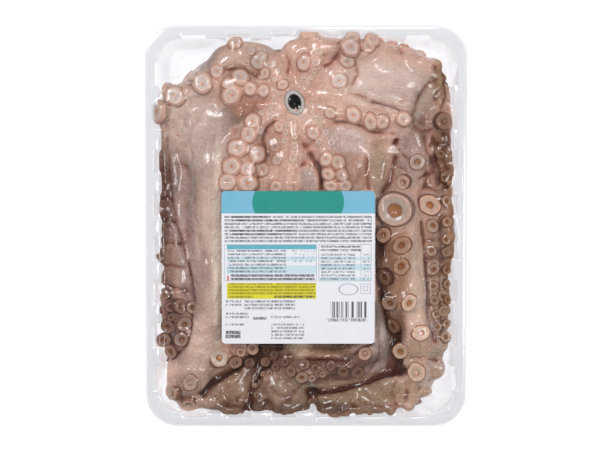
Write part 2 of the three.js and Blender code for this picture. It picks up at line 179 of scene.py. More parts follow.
class Graph:
    """The node tree of one material, written as calls and expressions."""

    def __init__(self, name: str) -> None:
        """Starts an empty material.

        Args:
            name: The material's name.
        """
        self.material = bpy.data.materials.new(name)
        self.material.use_nodes = True
        self.tree = self.material.node_tree
        self.tree.nodes.clear()
        scaled = {0: self.node("ShaderNodeTexCoord").outputs["Object"], "Scale": 1.0 / MM}
        # the point on the piece in millimetres, in the pack's frame
        self.place = self.node("ShaderNodeVectorMath", {"operation": "SCALE"}, scaled).outputs[0]

    def node(
        self, kind: str, settings: dict[str, Any] | None = None, inputs: dict[str | int, Any] | None = None
    ) -> bpy.types.Node:
        """Adds a node.

        Args:
            kind: The node's type.
            settings: Its properties, set first.
            inputs: Numbers, colours, Values or sockets for its inputs.

        Returns:
            The node.
        """
        made = self.tree.nodes.new(kind)
        for name, setting in (settings or {}).items():
            setattr(made, name, setting)
        for name, given in (inputs or {}).items():
            given = given.socket if isinstance(given, Value) else given
            if isinstance(given, bpy.types.NodeSocket):
                self.tree.links.new(given, made.inputs[name])
            else:
                made.inputs[name].default_value = given
        return made

    def value(
        self, kind: str, settings: dict[str, Any], inputs: dict[str | int, Any], output: str | int
    ) -> Value:
        """A number from one output of a new node of any kind."""
        return Value(self, self.node(kind, settings, inputs).outputs[output])

    def math(self, operation: str, *terms: "Value | float") -> Value:
        """The result of a Math node with one to three terms."""
        return self.value("ShaderNodeMath", {"operation": operation}, dict(enumerate(terms)), 0)

    def mix(self, factor: Value | float, first: Any, second: Any, blend: str = "MIX") -> bpy.types.NodeSocket:
        """Two colours or their sockets mixed, with the second's share first and the kind of mixing last."""
        settings = {"data_type": "RGBA", "blend_type": blend, "clamp_factor": True}
        return self.node("ShaderNodeMix", settings, {0: factor, 6: first, 7: second}).outputs[2]

    def vector(self, *parts: Value | float) -> bpy.types.NodeSocket:
        """A place made of its x, y and z, with 0 for those left out."""
        return self.node("ShaderNodeCombineXYZ", None, dict(enumerate(parts))).outputs[0]

    def axes(self) -> list[Value]:
        """The place's x, y and z in millimetres."""
        parts = self.node("ShaderNodeSeparateXYZ", None, {0: self.place}).outputs
        return [Value(self, part) for part in parts]

    def noise(
        self, size: float, detail: float = 2.0, twist: float = 0.0, at: bpy.types.NodeSocket | None = None
    ) -> Value:
        """Soft noise from about 0 to 1.

        Args:
            size: The size of its blots in millimetres.
            detail: How many finer layers it has.
            twist: How far it is distorted.
            at: The place to read, where it isn't the plain one.

        Returns:
            The noise.
        """
        inputs = {"Vector": at or self.place, "Scale": 1.0 / size, "Detail": detail, "Distortion": twist}
        return self.value("ShaderNodeTexNoise", {}, inputs, "Fac")

    def cells(self, size: float) -> Value:
        """Distances within cells of a size in millimetres."""
        return self.value("ShaderNodeTexVoronoi", {}, {"Vector": self.place, "Scale": 1.0 / size}, "Distance")

    def painted(self, name: str) -> bpy.types.NodeSocket:
        """A colour kept on the mesh."""
        return self.node("ShaderNodeAttribute", {"attribute_name": name}).outputs["Color"]

    def kept(self, name: str) -> Value:
        """A number kept on the mesh."""
        return self.value("ShaderNodeAttribute", {"attribute_name": name}, {}, "Fac")

    def bump(self, height: Value, distance: float) -> bpy.types.NodeSocket:
        """A normal that follows a height, where a height of 1 stands for a distance in millimetres."""
        inputs = {"Strength": 1.0, "Distance": distance * MM, "Height": height}
        return self.node("ShaderNodeBump", None, inputs).outputs["Normal"]

    def finish(
        self, inputs: dict[str | int, Any], kind: str = "ShaderNodeBsdfPrincipled"
    ) -> bpy.types.Material:
        """Ends the tree with a shader of a kind and its inputs, and gives the material."""
        self.node("ShaderNodeOutputMaterial", None, {"Surface": self.node(kind, None, inputs).outputs[0]})
        return self.material


# ---- Finishes ----


@dataclass(frozen=True)
class ClearPlastic:
    """Thin clear plastic: tinted see-through sheet with a mirror gloss that grows at the edges."""

    name: str
    tint: Colour
    milk: float  # how much of its own white shows
    frost: float  # how much more of it shows on the flange
    gloss: float  # gain on the real reflection
    most_gloss: float  # the reflection's limit on steep flanks
    crinkle: float  # height of its fine waves in millimetres
    crinkle_size: float  # their size in millimetres
    rough: float  # the gloss's least roughness

    def material(self) -> bpy.types.Material:
        """Builds the material.

        Returns:
            The material.
        """
        graph = Graph(self.name)
        wave = graph.noise(self.crinkle_size, 3.0, 0.6) + graph.noise(self.crinkle_size * 4.0, 1.0) * 1.5
        normal = graph.bump(wave, self.crinkle)
        clear = graph.node("ShaderNodeBsdfTransparent", None, {"Color": self.tint})
        haze = graph.noise(23.0, 2.0)
        facing = graph.value("ShaderNodeFresnel", {}, {"IOR": 1.46, "Normal": normal}, "Fac")
        gloss = (facing * self.gloss).least(self.most_gloss)
        flange = graph.axes()[2].ramp(36.6, 37.2)
        milk = flange * self.frost + self.milk
        sheet_white = graph.mix(haze, linear(250, 250, 251), linear(240, 242, 244))
        inputs = {
            "Base Color": graph.mix(flange, sheet_white, FROST),
            "Roughness": haze * 0.06 + self.rough,
            "Metallic": gloss / (gloss + milk),
            "Normal": normal,
        }
        sheet = graph.node("ShaderNodeBsdfPrincipled", None, inputs)
        shares = {0: gloss + milk, 1: clear.outputs[0], 2: sheet.outputs[0]}
        return graph.finish(shares, "ShaderNodeMixShader")


@dataclass(frozen=True)
class WetFlesh:
    """Raw octopus skin: painted tones, blots and fine specks, painted shade in its crevices and hollows, and
    a wet broken gloss.
    """

    name: str
    # painted shade at the bottom of crevices and creases
    deep_shade_colour: Colour
    redder_shade_colour: Colour  # painted redder shade in its hollows
    veil: Colour  # how much paler its pale blots are
    blush: Colour  # and how much darker its dark ones
    speck: Colour
    wrinkle: float  # height of the fine wrinkles in millimetres

    def material(self) -> bpy.types.Material:
        """Builds the material.

        Returns:
            The material.
        """
        graph = Graph(self.name)
        # how deep the painted shade of crevices and creases lies at each place
        painted_shade_depth = graph.kept("painted_shade_depth")
        lively = 1.0 - graph.kept("calm") * 0.65
        blots = graph.noise(11.0, 4.0, 0.8)
        fine = graph.noise(1.7, 3.0, 0.4)
        colour = graph.mix((blots - 0.44) * lively * 1.25, graph.painted("tone"), self.veil, "MULTIPLY")
        colour = graph.mix((0.52 - blots) * lively * 1.35, colour, self.blush, "MULTIPLY")
        specks = graph.cells(0.9).ramp(0.42, 0.12) * graph.kept("outer")
        specks = specks * graph.noise(5.0, 2.0).ramp(0.4, 0.62)
        colour = graph.mix(specks * 0.5, colour, self.speck)
        colour = graph.mix((fine - 0.47) * lively * 2.2, colour, self.veil, "MULTIPLY")
        # painted shade: hollows turn redder, and crevices and creases go dark
        colour = graph.mix(painted_shade_depth.ramp(0.1, 0.55) * 0.6, colour, self.redder_shade_colour, "MULTIPLY")
        colour = graph.mix(painted_shade_depth.ramp(0.27, 0.88) * 0.93, colour, self.deep_shade_colour)
        stretch = {0: graph.painted("grain"), 1: (0.16, 1.0, 1.0)}
        lie = graph.node("ShaderNodeVectorMath", {"operation": "MULTIPLY"}, stretch).outputs[0]
        strands = graph.noise(2.6, 3.0, 0.3, lie)
        colour = graph.mix((strands - 0.5) * lively * 1.4, colour, self.blush, "MULTIPLY")
        ripples, grain = graph.noise(3.4, 3.0, 1.1), graph.noise(0.75, 2.0)
        height = ripples * 0.9 + strands * 0.4 + fine * 0.65 + grain * 0.25
        inputs = {
            "Base Color": colour,
            "Roughness": graph.noise(7.0, 3.0, 0.5) * 0.26 + 0.16,
            "IOR": 1.37,
            "Subsurface Weight": 0.12,
            "Subsurface Radius": (0.0035, 0.0013, 0.0008),
            "Subsurface Scale": 1.0,
            "Normal": graph.bump(height, self.wrinkle),
        }
        return graph.finish(inputs)


@dataclass(frozen=True)
class SuckerSkin:
    """A sucker's skin: pale rim with fine rays, a wall darkened with painted shade, and an orange-brown cup.
    """

    name: str
    open_ring: tuple[Colour, Colour, Colour, Colour]  # cup, disc, rim and wall of an open sucker, the wall painted shade
    shut_ring: tuple[Colour, Colour, Colour, Colour]  # and of a shut one
    skin: Colour | None = None  # its own colour where it doesn't take that of the skin round it

    @staticmethod
    def _rings(graph: Graph, colours: tuple[Colour, Colour, Colour, Colour]) -> bpy.types.NodeSocket:
        """Colours a sucker from its cup out to its wall.

        Args:
            graph: The material's tree.
            colours: The cup, disc, rim and wall, the wall's colour being painted shade.

        Returns:
            The colour.
        """
        cup, disc, rim, wall = colours
        places = (0.0, 0.12, 0.19, 0.27, 0.42, 0.5, 0.64, 0.75, 1.0)
        made = graph.node("ShaderNodeValToRGB", None, {"Fac": graph.kept("ring")})
        stops = made.color_ramp.elements
        while len(stops) < len(places):
            stops.new(0.5)
        # the wall's colour, on the outer flank and round the cup's edge, is painted shade
        for stop, place, colour in zip(stops, places, (cup, cup, wall, disc, disc, rim, rim, wall, wall)):
            stop.position = place
            stop.color = colour
        return made.outputs["Color"]

    def material(self) -> bpy.types.Material:
        """Builds the material.

        Returns:
            The material.
        """
        graph = Graph(self.name)
        shut, opened = self._rings(graph, self.shut_ring), self._rings(graph, self.open_ring)
        shares = graph.mix(graph.kept("open"), shut, opened)
        bright = graph.mix(1.0, self.skin or graph.painted("tone"), (2.1, 2.1, 2.1, 1.0), "MULTIPLY")
        local = graph.mix(1.0, bright, shares, "MULTIPLY")
        blots = graph.noise(2.6, 3.0, 0.5)
        local = graph.mix((blots - 0.45) * 2.0, local, (0.8, 0.66, 0.58, 1.0), "MULTIPLY")
        rays = graph.noise(0.6, 1.0)
        inputs = {
            "Base Color": graph.mix(rays.ramp(0.5, 0.75), local, (1.3, 1.32, 1.34, 1.0), "MULTIPLY"),
            "Roughness": blots * 0.3 + 0.33,
            "IOR": 1.37,
            "Subsurface Weight": 0.12,
            "Subsurface Radius": (0.003, 0.0012, 0.0008),
            "Subsurface Scale": 1.0,
            "Normal": graph.bump(blots * 1.0 + rays * 0.35, 0.35),
        }
        return graph.finish(inputs)


@dataclass(frozen=True)
class WetHorn:
    """The beak's wet black horn, browner in blots."""

    name: str
    dark: Colour
    brown: Colour

    def material(self) -> bpy.types.Material:
        """Builds the material.

        Returns:
            The material.
        """
        graph = Graph(self.name)
        blots = graph.noise(1.6, 3.0)
        inputs = {
            "Base Color": graph.mix(blots.ramp(0.55, 0.8) * 0.6, self.dark, self.brown),
            "Roughness": blots * 0.25 + 0.1,
            "IOR": 1.3,
            "Normal": graph.bump(graph.noise(0.9, 2.0) + blots, 0.7),
        }
        return graph.finish(inputs)


class Ink(Enum):
    """The label's printing inks."""

    BAND = linear(112, 184, 214)
    PANEL = linear(0, 146, 132)
    BAR = linear(92, 178, 198)
    PALE = linear(203, 225, 235)
    YELLOW = linear(228, 218, 6)
    RED = linear(214, 46, 44)
    TEXT = linear(104, 104, 114)
    OLIVE = linear(146, 138, 24)
    DARK = linear(40, 38, 50)
    RULE = linear(140, 150, 162)


@dataclass(frozen=True)
class PrintedPaper:
    """Satin label paper with a generic print of fields of colour, bars and rows of small marks.

    A field is an ink and its left, bottom, right and top in millimetres from the label's middle.
    Rows are an ink, a field, the rows' pitch, the ink's share of a row, and how much of the row is marked.
    """

    name: str
    paper: Colour
    fields: tuple[tuple[Ink, float, float, float, float], ...]
    rows: tuple[tuple[Ink, float, float, float, float, float, float, float], ...]
    panel: tuple[float, float, float, float, float]  # left, bottom, right, top and its ends' bulge
    frames: tuple[tuple[float, float, float, float], ...]  # boxes drawn in a thin line
    bars: tuple[float, float, float, float]
    oval: tuple[float, float, float, float]  # middle and half sizes
    line: float = 0.35

    def material(self) -> bpy.types.Material:
        """Builds the material.

        Returns:
            The material.
        """
        graph = Graph(self.name)
        x, y, _ = graph.axes()
        x, y = x - LABEL_MIDDLE[0], y - LABEL_MIDDLE[1]
        mottle = graph.noise(6.0, 3.0)
        colour = graph.mix(mottle * 0.5, self.paper, linear(228, 229, 238))
        for ink, *edges in self.fields:
            colour = graph.mix(self._inside(x, y, edges) * (mottle * 0.1 + 0.92), colour, ink.value)
        left, bottom, right, top, bulge = self.panel
        curve = 1.0 - ((y - (bottom + top) / 2.0) / ((top - bottom) / 2.0)) ** 2.0
        reach = (x - (left + right) / 2.0).size() - curve * bulge
        panel = reach.below((right - left) / 2.0 - bulge)
        panel = panel * self._inside(x, y, (left - 1, bottom, right + 1, top))
        colour = graph.mix(panel * (mottle * 0.06 + 0.95), colour, Ink.PANEL.value)
        for ink, *row in self.rows:
            colour = graph.mix(self._marks(graph, x, y, row), colour, ink.value)
        colour = graph.mix(self._barcode(graph, x, y), colour, Ink.DARK.value)
        colour = graph.mix(self._ring(x, y), colour, Ink.RULE.value)
        for left, bottom, right, top in self.frames:
            inner = (left + self.line, bottom + self.line, right - self.line, top - self.line)
            rule = self._inside(x, y, (left, bottom, right, top)) - self._inside(x, y, inner)
            colour = graph.mix(rule * 0.75, colour, Ink.RULE.value)
        sheen = graph.noise(14.0, 2.0, 0.4)
        normal = graph.bump(sheen + graph.noise(60.0, 1.0) * 2.0, 0.35)
        return graph.finish({"Base Color": colour, "Roughness": sheen * 0.2 + 0.3, "Normal": normal})

    @staticmethod
    def _inside(x: Value, y: Value, edges: Sequence[float]) -> Value:
        """1 inside a rectangle.

        Args:
            x: Place across the label.
            y: Place up the label.
            edges: The rectangle's left, bottom, right and top.

        Returns:
            The mask.
        """
        left, bottom, right, top = edges
        across = (x - (left + right) / 2.0).size().below((right - left) / 2.0)
        return across * (y - (bottom + top) / 2.0).size().below((top - bottom) / 2.0)

    def _marks(self, graph: Graph, x: Value, y: Value, rows: Sequence[float]) -> Value:
        """Rows of small broken marks within a rectangle.

        Args:
            graph: The material's tree.
            x: Place across the label.
            y: Place up the label.
            rows: The rectangle, the pitch, the ink's share of a row and how much of it is marked.

        Returns:
            The mask.
        """
        *edges, pitch, share, marked = rows
        row = (y - edges[1]) / pitch
        strokes = graph.noise(1.0, 2.0, 0.0, graph.vector(x * 1.5, row.whole() * 7.3, row.rest() * 1.1))
        words = graph.noise(1.0, 1.0, 0.0, graph.vector(x * 0.22, row.whole() * 3.1))
        inked = strokes.ramp(0.66 - marked * 0.4, 0.9 - marked * 0.4) * words.ramp(0.28, 0.34)
        return self._inside(x, y, edges) * (row.rest() - 0.5).size().below(share / 2.0) * inked * 0.85

    def _barcode(self, graph: Graph, x: Value, y: Value) -> Value:
        """Upright bars of uneven widths within their rectangle."""
        dark = graph.noise(1.0, 0.0, 0.0, graph.vector((x / 0.5).whole() * 1.37)).above(0.5)
        return self._inside(x, y, self.bars) * dark * 0.9

    def _ring(self, x: Value, y: Value) -> Value:
        """The thin line of an oval mark."""
        off, up = (x - self.oval[0]) / self.oval[2], (y - self.oval[1]) / self.oval[3]
        return ((off**2.0 + up**2.0) ** 0.5 - 1.0).size().below(0.07) * 0.8


@dataclass(frozen=True)
class PaleFloor:
    """A plain matt white light table with the faintest mottle."""

    name: str
    colour: Colour
    glow: float

    def material(self) -> bpy.types.Material:
        """Builds the material.

        Returns:
            The material.
        """
        graph = Graph(self.name)
        soft = graph.noise(180.0, 2.0)
        inputs = {
            "Base Color": graph.mix(soft * 0.2, self.colour, linear(180, 180, 181)),
            "Roughness": soft * 0.1 + 0.75,
            "Emission Color": WHITE,
            "Emission Strength": self.glow,
        }
        return graph.finish(inputs)


# ---- Shared modelling steps ----


class Bench:
    """Turns shapes in millimetres into finished pieces of the pack."""

    @staticmethod
    def mesh(name: str, shape: bmesh.types.BMesh) -> bpy.types.Mesh:
        """Ends a bmesh as a smooth mesh in millimetres.

        Args:
            name: The mesh's name.
            shape: The bmesh, which is freed.

        Returns:
            The mesh.
        """
        made = bpy.data.meshes.new(name)
        shape.to_mesh(made)
        shape.free()
        made.shade_smooth()
        return made

    @staticmethod
    def join(name: str, meshes: Iterable[bpy.types.Mesh]) -> bpy.types.Mesh:
        """Collects meshes into one and removes them.

        Args:
            name: The new mesh's name.
            meshes: The meshes.

        Returns:
            The collected mesh.
        """
        whole = bmesh.new()
        for mesh in meshes:
            whole.from_mesh(mesh)
            bpy.data.meshes.remove(mesh)
        return Bench.mesh(name, whole)

    @staticmethod
    def piece(
        name: str, mesh: bpy.types.Mesh, material: bpy.types.Material, nodes: Sequence[str], slot: str
    ) -> bpy.types.Object:
        """Makes a mesh in millimetres a piece of the pack.

        Args:
            name: The piece's name.
            mesh: Its mesh.
            material: Its finish.
            nodes: The CAD nodes that it stands for.
            slot: The record's material slot; not used.

        Returns:
            The piece, at the origin.
        """
        mesh.transform(Matrix.Scale(MM, 4))
        mesh.materials.clear()
        mesh.materials.append(material)
        made = bpy.data.objects.new(name, mesh)
        bpy.context.scene.collection.objects.link(made)
        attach(made, "root")
        if nodes:
            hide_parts(*nodes)
        LOG.info("%s: %d faces", name, len(mesh.polygons))
        return made

    @staticmethod
    def tree(mesh: bpy.types.Mesh, unit: float = 1.0) -> BVHTree:
        """A mesh's faces for casting rays, with its places divided by a unit."""
        places = [vertex.co / unit for vertex in mesh.vertices]
        return BVHTree.FromPolygons(places, [list(face.vertices) for face in mesh.polygons])

    @staticmethod
    def close(shape: bmesh.types.BMesh) -> None:
        """Fills a shape's open ends and faces it outwards."""
        bmesh.ops.holes_fill(shape, edges=[edge for edge in shape.edges if edge.is_boundary], sides=0)
        bmesh.ops.recalc_face_normals(shape, faces=shape.faces)

    @staticmethod
    def thicken(shape: bmesh.types.BMesh, thickness: float) -> None:
        """Makes a level sheet a closed slab.

        Args:
            shape: The sheet, which is changed.
            thickness: How thick it becomes.
        """
        bmesh.ops.recalc_face_normals(shape, faces=shape.faces)
        if sum(face.normal.z for face in shape.faces) < 0:
            bmesh.ops.reverse_faces(shape, faces=shape.faces)
        bmesh.ops.solidify(shape, geom=shape.faces[:], thickness=thickness)
        bmesh.ops.recalc_face_normals(shape, faces=shape.faces)

    @staticmethod
    def sleeve(shape: bmesh.types.BMesh, rings: Sequence[np.ndarray]) -> None:
        """Joins closed outlines of equal length into a skin.

        Args:
            shape: The bmesh that it is made in.
            rings: Each outline's points in turn.
        """
        ring = bmesh.ops.create_circle(shape, segments=len(rings[0]), radius=1.0)["verts"]
        edges = list({edge for vertex in ring for edge in vertex.link_edges})
        for vertex, point in zip(ring, rings[0]):
            vertex.co = point
        for outline in rings[1:]:
            order = {vertex: k for k, vertex in enumerate(ring)}
            made = bmesh.ops.extrude_edge_only(shape, edges=edges)["geom"]
            fresh = {part for part in made if isinstance(part, bmesh.types.BMVert)}
            edges = [part for part in made if isinstance(part, bmesh.types.BMEdge)]
            edges = [edge for edge in edges if set(edge.verts) <= fresh]
            for vertex in fresh:
                before = next(o for o in (e.other_vert(vertex) for e in vertex.link_edges) if o in order)
                vertex.co = outline[order[before]]
                ring[order[before]] = vertex

    @staticmethod
    def turned(profile: Sequence[Place], steps: int) -> bmesh.types.BMesh:
        """Spins a profile of radius and height round the z axis and closes its ends.

        Args:
            profile: The radius and height of each point.
            steps: Segments of the turn.

        Returns:
            The closed shape.
        """
        shape = bmesh.new()
        points = [shape.verts.new((radius, 0.0, height)) for radius, height in profile]
        edges = [shape.edges.new(pair) for pair in pairwise(points)]
        turn = {"cent": (0, 0, 0), "axis": UP, "angle": math.tau, "steps": steps}
        bmesh.ops.spin(shape, geom=points + edges, use_merge=True, use_duplicate=False, **turn)
        bmesh.ops.remove_doubles(shape, verts=shape.verts, dist=1e-5)
        Bench.close(shape)
        return shape


def flowing(stations: np.ndarray, step: float) -> tuple[np.ndarray, np.ndarray]:
    """A smooth line through stations at even steps of its length.

    Args:
        stations: The points that it passes.
        step: About how far apart the result's points lie.

    Returns:
        The points, and the station number at each with its fraction.
    """
    ends = (2 * stations[0] - stations[1], 2 * stations[-1] - stations[-2])
    padded = np.vstack([ends[0], stations, ends[1]])
    dense, numbers = [], []
    share = np.linspace(0.0, 1.0, CURVE_STEPS, endpoint=False)[:, None]
    cube, square = share**3, share**2
    for k in range(len(stations) - 1):
        p0, p1, p2, p3 = padded[k : k + 4]
        gaps = (float(np.linalg.norm(b - a)) for a, b in ((p0, p1), (p1, p2), (p2, p3)))
        d0, d1, d2 = (max(gap**0.5, 1e-3) for gap in gaps)
        m1 = ((p1 - p0) / d0 - (p2 - p0) / (d0 + d1) + (p2 - p1) / d1) * d1
        m2 = ((p2 - p1) / d1 - (p3 - p1) / (d1 + d2) + (p3 - p2) / d2) * d1
        leaving = (2 * cube - 3 * square + 1) * p1 + (cube - 2 * square + share) * m1
        dense.append(leaving + (3 * square - 2 * cube) * p2 + (cube - square) * m2)
        numbers.append(k + share[:, 0])
    line = np.vstack([*dense, stations[-1:]])
    number = np.concatenate([*numbers, [len(stations) - 1.0]])
    travelled = np.concatenate([[0.0], np.cumsum(np.linalg.norm(np.diff(line, axis=0), axis=1))])
    wanted = np.linspace(0.0, travelled[-1], max(2, round(travelled[-1] / step)) + 1)
    even = np.column_stack([np.interp(wanted, travelled, line[:, axis]) for axis in range(3)])
    return even, np.interp(wanted, travelled, number)


def settled(level: np.ndarray, pull: float) -> np.ndarray:
    """A grid of heights, the inner ones drawn down by a pull from their neighbours' mean."""
    lower = level.copy()
    lower[1:-1, 1:-1] = (level[:-2, 1:-1] + level[2:, 1:-1] + level[1:-1, :-2] + level[1:-1, 2:]) / 4 - pull
    return lower


# ---- Tray ----


@dataclass(frozen=True)
class Tray:
    """The clear tray in millimetres: a flat flange with a rolled edge, ribbed walls and a floor."""

    width: float = 216.0
    length: float = 270.0
    depth: float = 38.0
    corner: float = 22.0
    arc: int = 12  # steps in each corner
    wall: float = 0.8
    flange: float = 9.6
    draft: float = 6.0
    foot: float = 2.6
    ribs_long: int = 8
    ribs_wide: int = 6
    rib_depth: float = 2.7
    root_depth: float = 0.9
    crest: float = 0.25
    rib_foot: float = 0.28
    room: float = 0.6

    def corner_radius(self, inset: float | np.ndarray) -> float | np.ndarray:
        """Radius of the corners at an inset from the outer edge."""
        return self.corner - 0.78 * inset

    def outline(self, inset: float, rib: float, z: float, spread: float = 0.0) -> np.ndarray:
        """The tray's outline at a height, with ribs that stand out.

        Args:
            inset: How far in from the outer edge it lies.
            rib: How far the ribs stand out.
            z: Its height.
            spread: How far the wall's thickness widens each rib.

        Returns:
            The points, counter-clockwise from above.
        """
        half_width, half_length = self.width / 2 - inset, self.length / 2 - inset
        radius = self.corner_radius(inset)
        mid_x, mid_y = half_width - radius, half_length - radius
        across, along = (half_width, mid_y, self.ribs_long), (half_length, mid_x, self.ribs_wide)
        ring = []
        for number, (out_x, out_y) in enumerate(((1, 0), (0, 1), (-1, 0), (0, -1))):
            half, straight, ribs = across if out_x else along
            pitch = 2 * straight / (ribs - 1 + self.room)
            for k in range(ribs):
                middle = (k - (ribs - 1) / 2) * pitch
                for end, share, rise in self._rib_steps():
                    t = middle + end * (share * pitch + spread)
                    reach = half + rise * rib
                    ring.append((out_x * reach - out_y * t, out_y * reach + out_x * t, z))
            for k in range(self.arc + 1):
                angle = math.radians(90.0 * (number + k / self.arc))
                x = (out_x - out_y) * mid_x + radius * math.cos(angle)
                y = (out_x + out_y) * mid_y + radius * math.sin(angle)
                ring.append((x, y, z))
        return np.array(ring)

    def _rib_steps(self) -> list[tuple[int, float, float]]:
        """One rib's points: which side of its middle, their share of the pitch, and their rise."""
        flank = self.rib_foot - self.crest
        going_up = [(-1, self.rib_foot - flank * t, float(eased(t))) for t in (-0.15, 0.15, 0.5, 0.85, 1.15)]
        inner = [(-1, self.crest * 0.5, 1.0), (1, self.crest * 0.5, 1.0)]
        return [*going_up, *inner, *((1, share, rise) for _, share, rise in reversed(going_up))]

    def recess(self, x: np.ndarray, y: np.ndarray, z: np.ndarray) -> np.ndarray:
        """How far the wall stands back in a rib beside each point.

        Args:
            x: The points' x.
            y: Their y.
            z: Their height.

        Returns:
            The rib's depth there, 0 between ribs.
        """
        lean = np.clip((z - self.foot) / (self.depth - self.foot), 0, 1)
        depth = self.root_depth + (self.rib_depth - self.root_depth) * lean
        inset = self.flange + self.draft * (1 - lean)
        half_width, half_length = self.width / 2 - inset, self.length / 2 - inset
        radius = self.corner_radius(inset)
        found = np.zeros_like(x)
        for along, across, half, straight, ribs in (
            (y, x, half_width, half_length - radius, self.ribs_long),
            (x, y, half_length, half_width - radius, self.ribs_wide),
        ):
            pitch = 2 * straight / (ribs - 1 + self.room)
            phase = along / pitch + (ribs - 1) / 2
            off = np.abs(phase - np.clip(np.round(phase), 0, ribs - 1))
            near = eased((half - np.abs(across)) / -6.0 + 1.5)
            found = np.maximum(found, eased((self.rib_foot - off) / 0.08) * near)
        return found * depth

    def build(self, finish: ClearPlastic) -> bpy.types.Object:
        """Builds the tray: its outside up to the flange's rolled edge, and its inside back down.

        Args:
            finish: Its plastic.

        Returns:
            The piece.
        """
        f, d, w, depth, foot = self.flange, self.draft, self.wall, self.depth, self.foot
        low, high = self.root_depth, self.rib_depth
        halfway = ((low + high) / 2, (depth + foot) / 2)
        outside = (
            (f + d + foot - w + 1.2, 0, 0), (f + d + foot - w, 0, 0), (f + d + 0.8 - w, low * 0.7, 0.7),
            (f + d - w, low, foot), (f + d * 0.5 - w, *halfway), (f - w + 0.2, high, depth - w - 1.4),
            (f - w - 0.5, high, depth - w), (2.1, 0, depth - w), (1.5, 0, depth - w - 0.5),
            (1.2, 0, depth - 3.2), (0.4, 0, depth - 3.4), (0.0, 0, depth - 2.8), (0.35, 0, depth - 0.7),
            (1.2, 0, depth),
        )
        inside = (
            (3.0, 0, depth), (f - 0.7, high, depth), (f - 0.1, high, depth - 0.35),
            (f + 0.25, high, depth - 1.5), (f + d * 0.5, *halfway), (f + d, low, foot + w),
            (f + d + 0.7, low * 0.7, 0.75 + w), (f + d + foot, 0, w), (f + d + foot + 1.2, 0, w),
        )
        rings = [self.outline(*row, w * 0.6) for row in outside] + [self.outline(*row) for row in inside]
        shape = bmesh.new()
        Bench.sleeve(shape, rings)
        bmesh.ops.remove_doubles(shape, verts=shape.verts, dist=0.05)
        Bench.close(shape)
        caps = [face for face in shape.faces if len(face.verts) > 8]
        bmesh.ops.inset_region(shape, faces=caps, thickness=3.0, use_even_offset=True)
        bmesh.ops.poke(shape, faces=[face for face in shape.faces if len(face.verts) > 8])
        return Bench.piece("tray", Bench.mesh("tray", shape), finish.material(), ["tray"], "tray_plastic")


# ---- Octopus: how it lies ----


@dataclass(frozen=True)
class Arm:
    """One arm's route from the mouth, in millimetres and degrees.

    A station is x, y, the height of the arm's top and the roll: 0 turns the suckers up, 90 to the right of
    travel.
    """

    radii: tuple[float, float, float]  # at the mouth, at the thickest place and at the end
    peak: float  # where along the arm it is thickest
    tall: float  # height of a section over its width
    suckers: tuple[float, float]  # radii of a full-grown sucker and of the last one
    route: tuple[tuple[float, float, float, float], ...]

    def line(self, step: float) -> tuple[np.ndarray, np.ndarray]:
        """Points along the arm's top, with the roll at each in radians.

        Args:
            step: How far apart they lie.

        Returns:
            The points and the rolls.
        """
        table = np.array(self.route, float)
        points, number = flowing(table[:, :3], step)
        before = np.minimum(number.astype(int), len(table) - 2)
        share = eased(number - before)
        return points, np.radians(table[before, 3] * (1 - share) + table[before + 1, 3] * share)

    def radius(self, share: np.ndarray, length: float) -> np.ndarray:
        """The arm's radius at shares of its length, round at the tip.

        Args:
            share: The shares.
            length: The arm's length.

        Returns:
            The radii.
        """
        base, widest, tip = self.radii
        rise = base + (widest - base) * eased(share / self.peak)
        fall = widest + (tip - widest) * eased((share - self.peak) / (1 - self.peak))
        round_end = np.sqrt(np.clip(0.2 + (1 - share) * length / tip, 0, 1))
        return np.where(share < self.peak, rise, fall) * round_end

    def sections(self, step: float) -> "Sections":
        """The arm's cross sections.

        Args:
            step: How far apart they lie.

        Returns:
            Their places, axes, radii and rolls.
        """
        tops, rolls = self.line(step)
        share = np.linspace(0, 1, len(tops))
        length = float(np.linalg.norm(np.diff(tops, axis=0), axis=1).sum())
        radius = self.radius(share, length)
        tangent = np.gradient(tops, axis=0)
        tangent /= np.linalg.norm(tangent, axis=1)[:, None]
        side = np.cross(tangent, UP)
        side /= np.linalg.norm(side, axis=1)[:, None]
        lift = np.cross(side, tangent)
        centre = tops - np.outer(self.tall * radius, UP)
        return Sections(centre, tangent, side, lift, radius, rolls, share, length, self.tall)


@dataclass(frozen=True)
class Sections:
    """An arm's cross sections, one row each."""

    centre: np.ndarray
    tangent: np.ndarray
    side: np.ndarray
    lift: np.ndarray
    radius: np.ndarray
    roll: np.ndarray
    share: np.ndarray
    length: float
    tall: float

    def skin(self, k: int, angle: float) -> tuple[np.ndarray, np.ndarray]:
        """A point on a section's skin at an angle from up to the right, and the way out of the arm there."""
        out = (self.side[k] * math.sin(angle) + self.lift[k] * math.cos(angle) * self.tall) * self.radius[k]
        return self.centre[k] + out, out / np.linalg.norm(out)


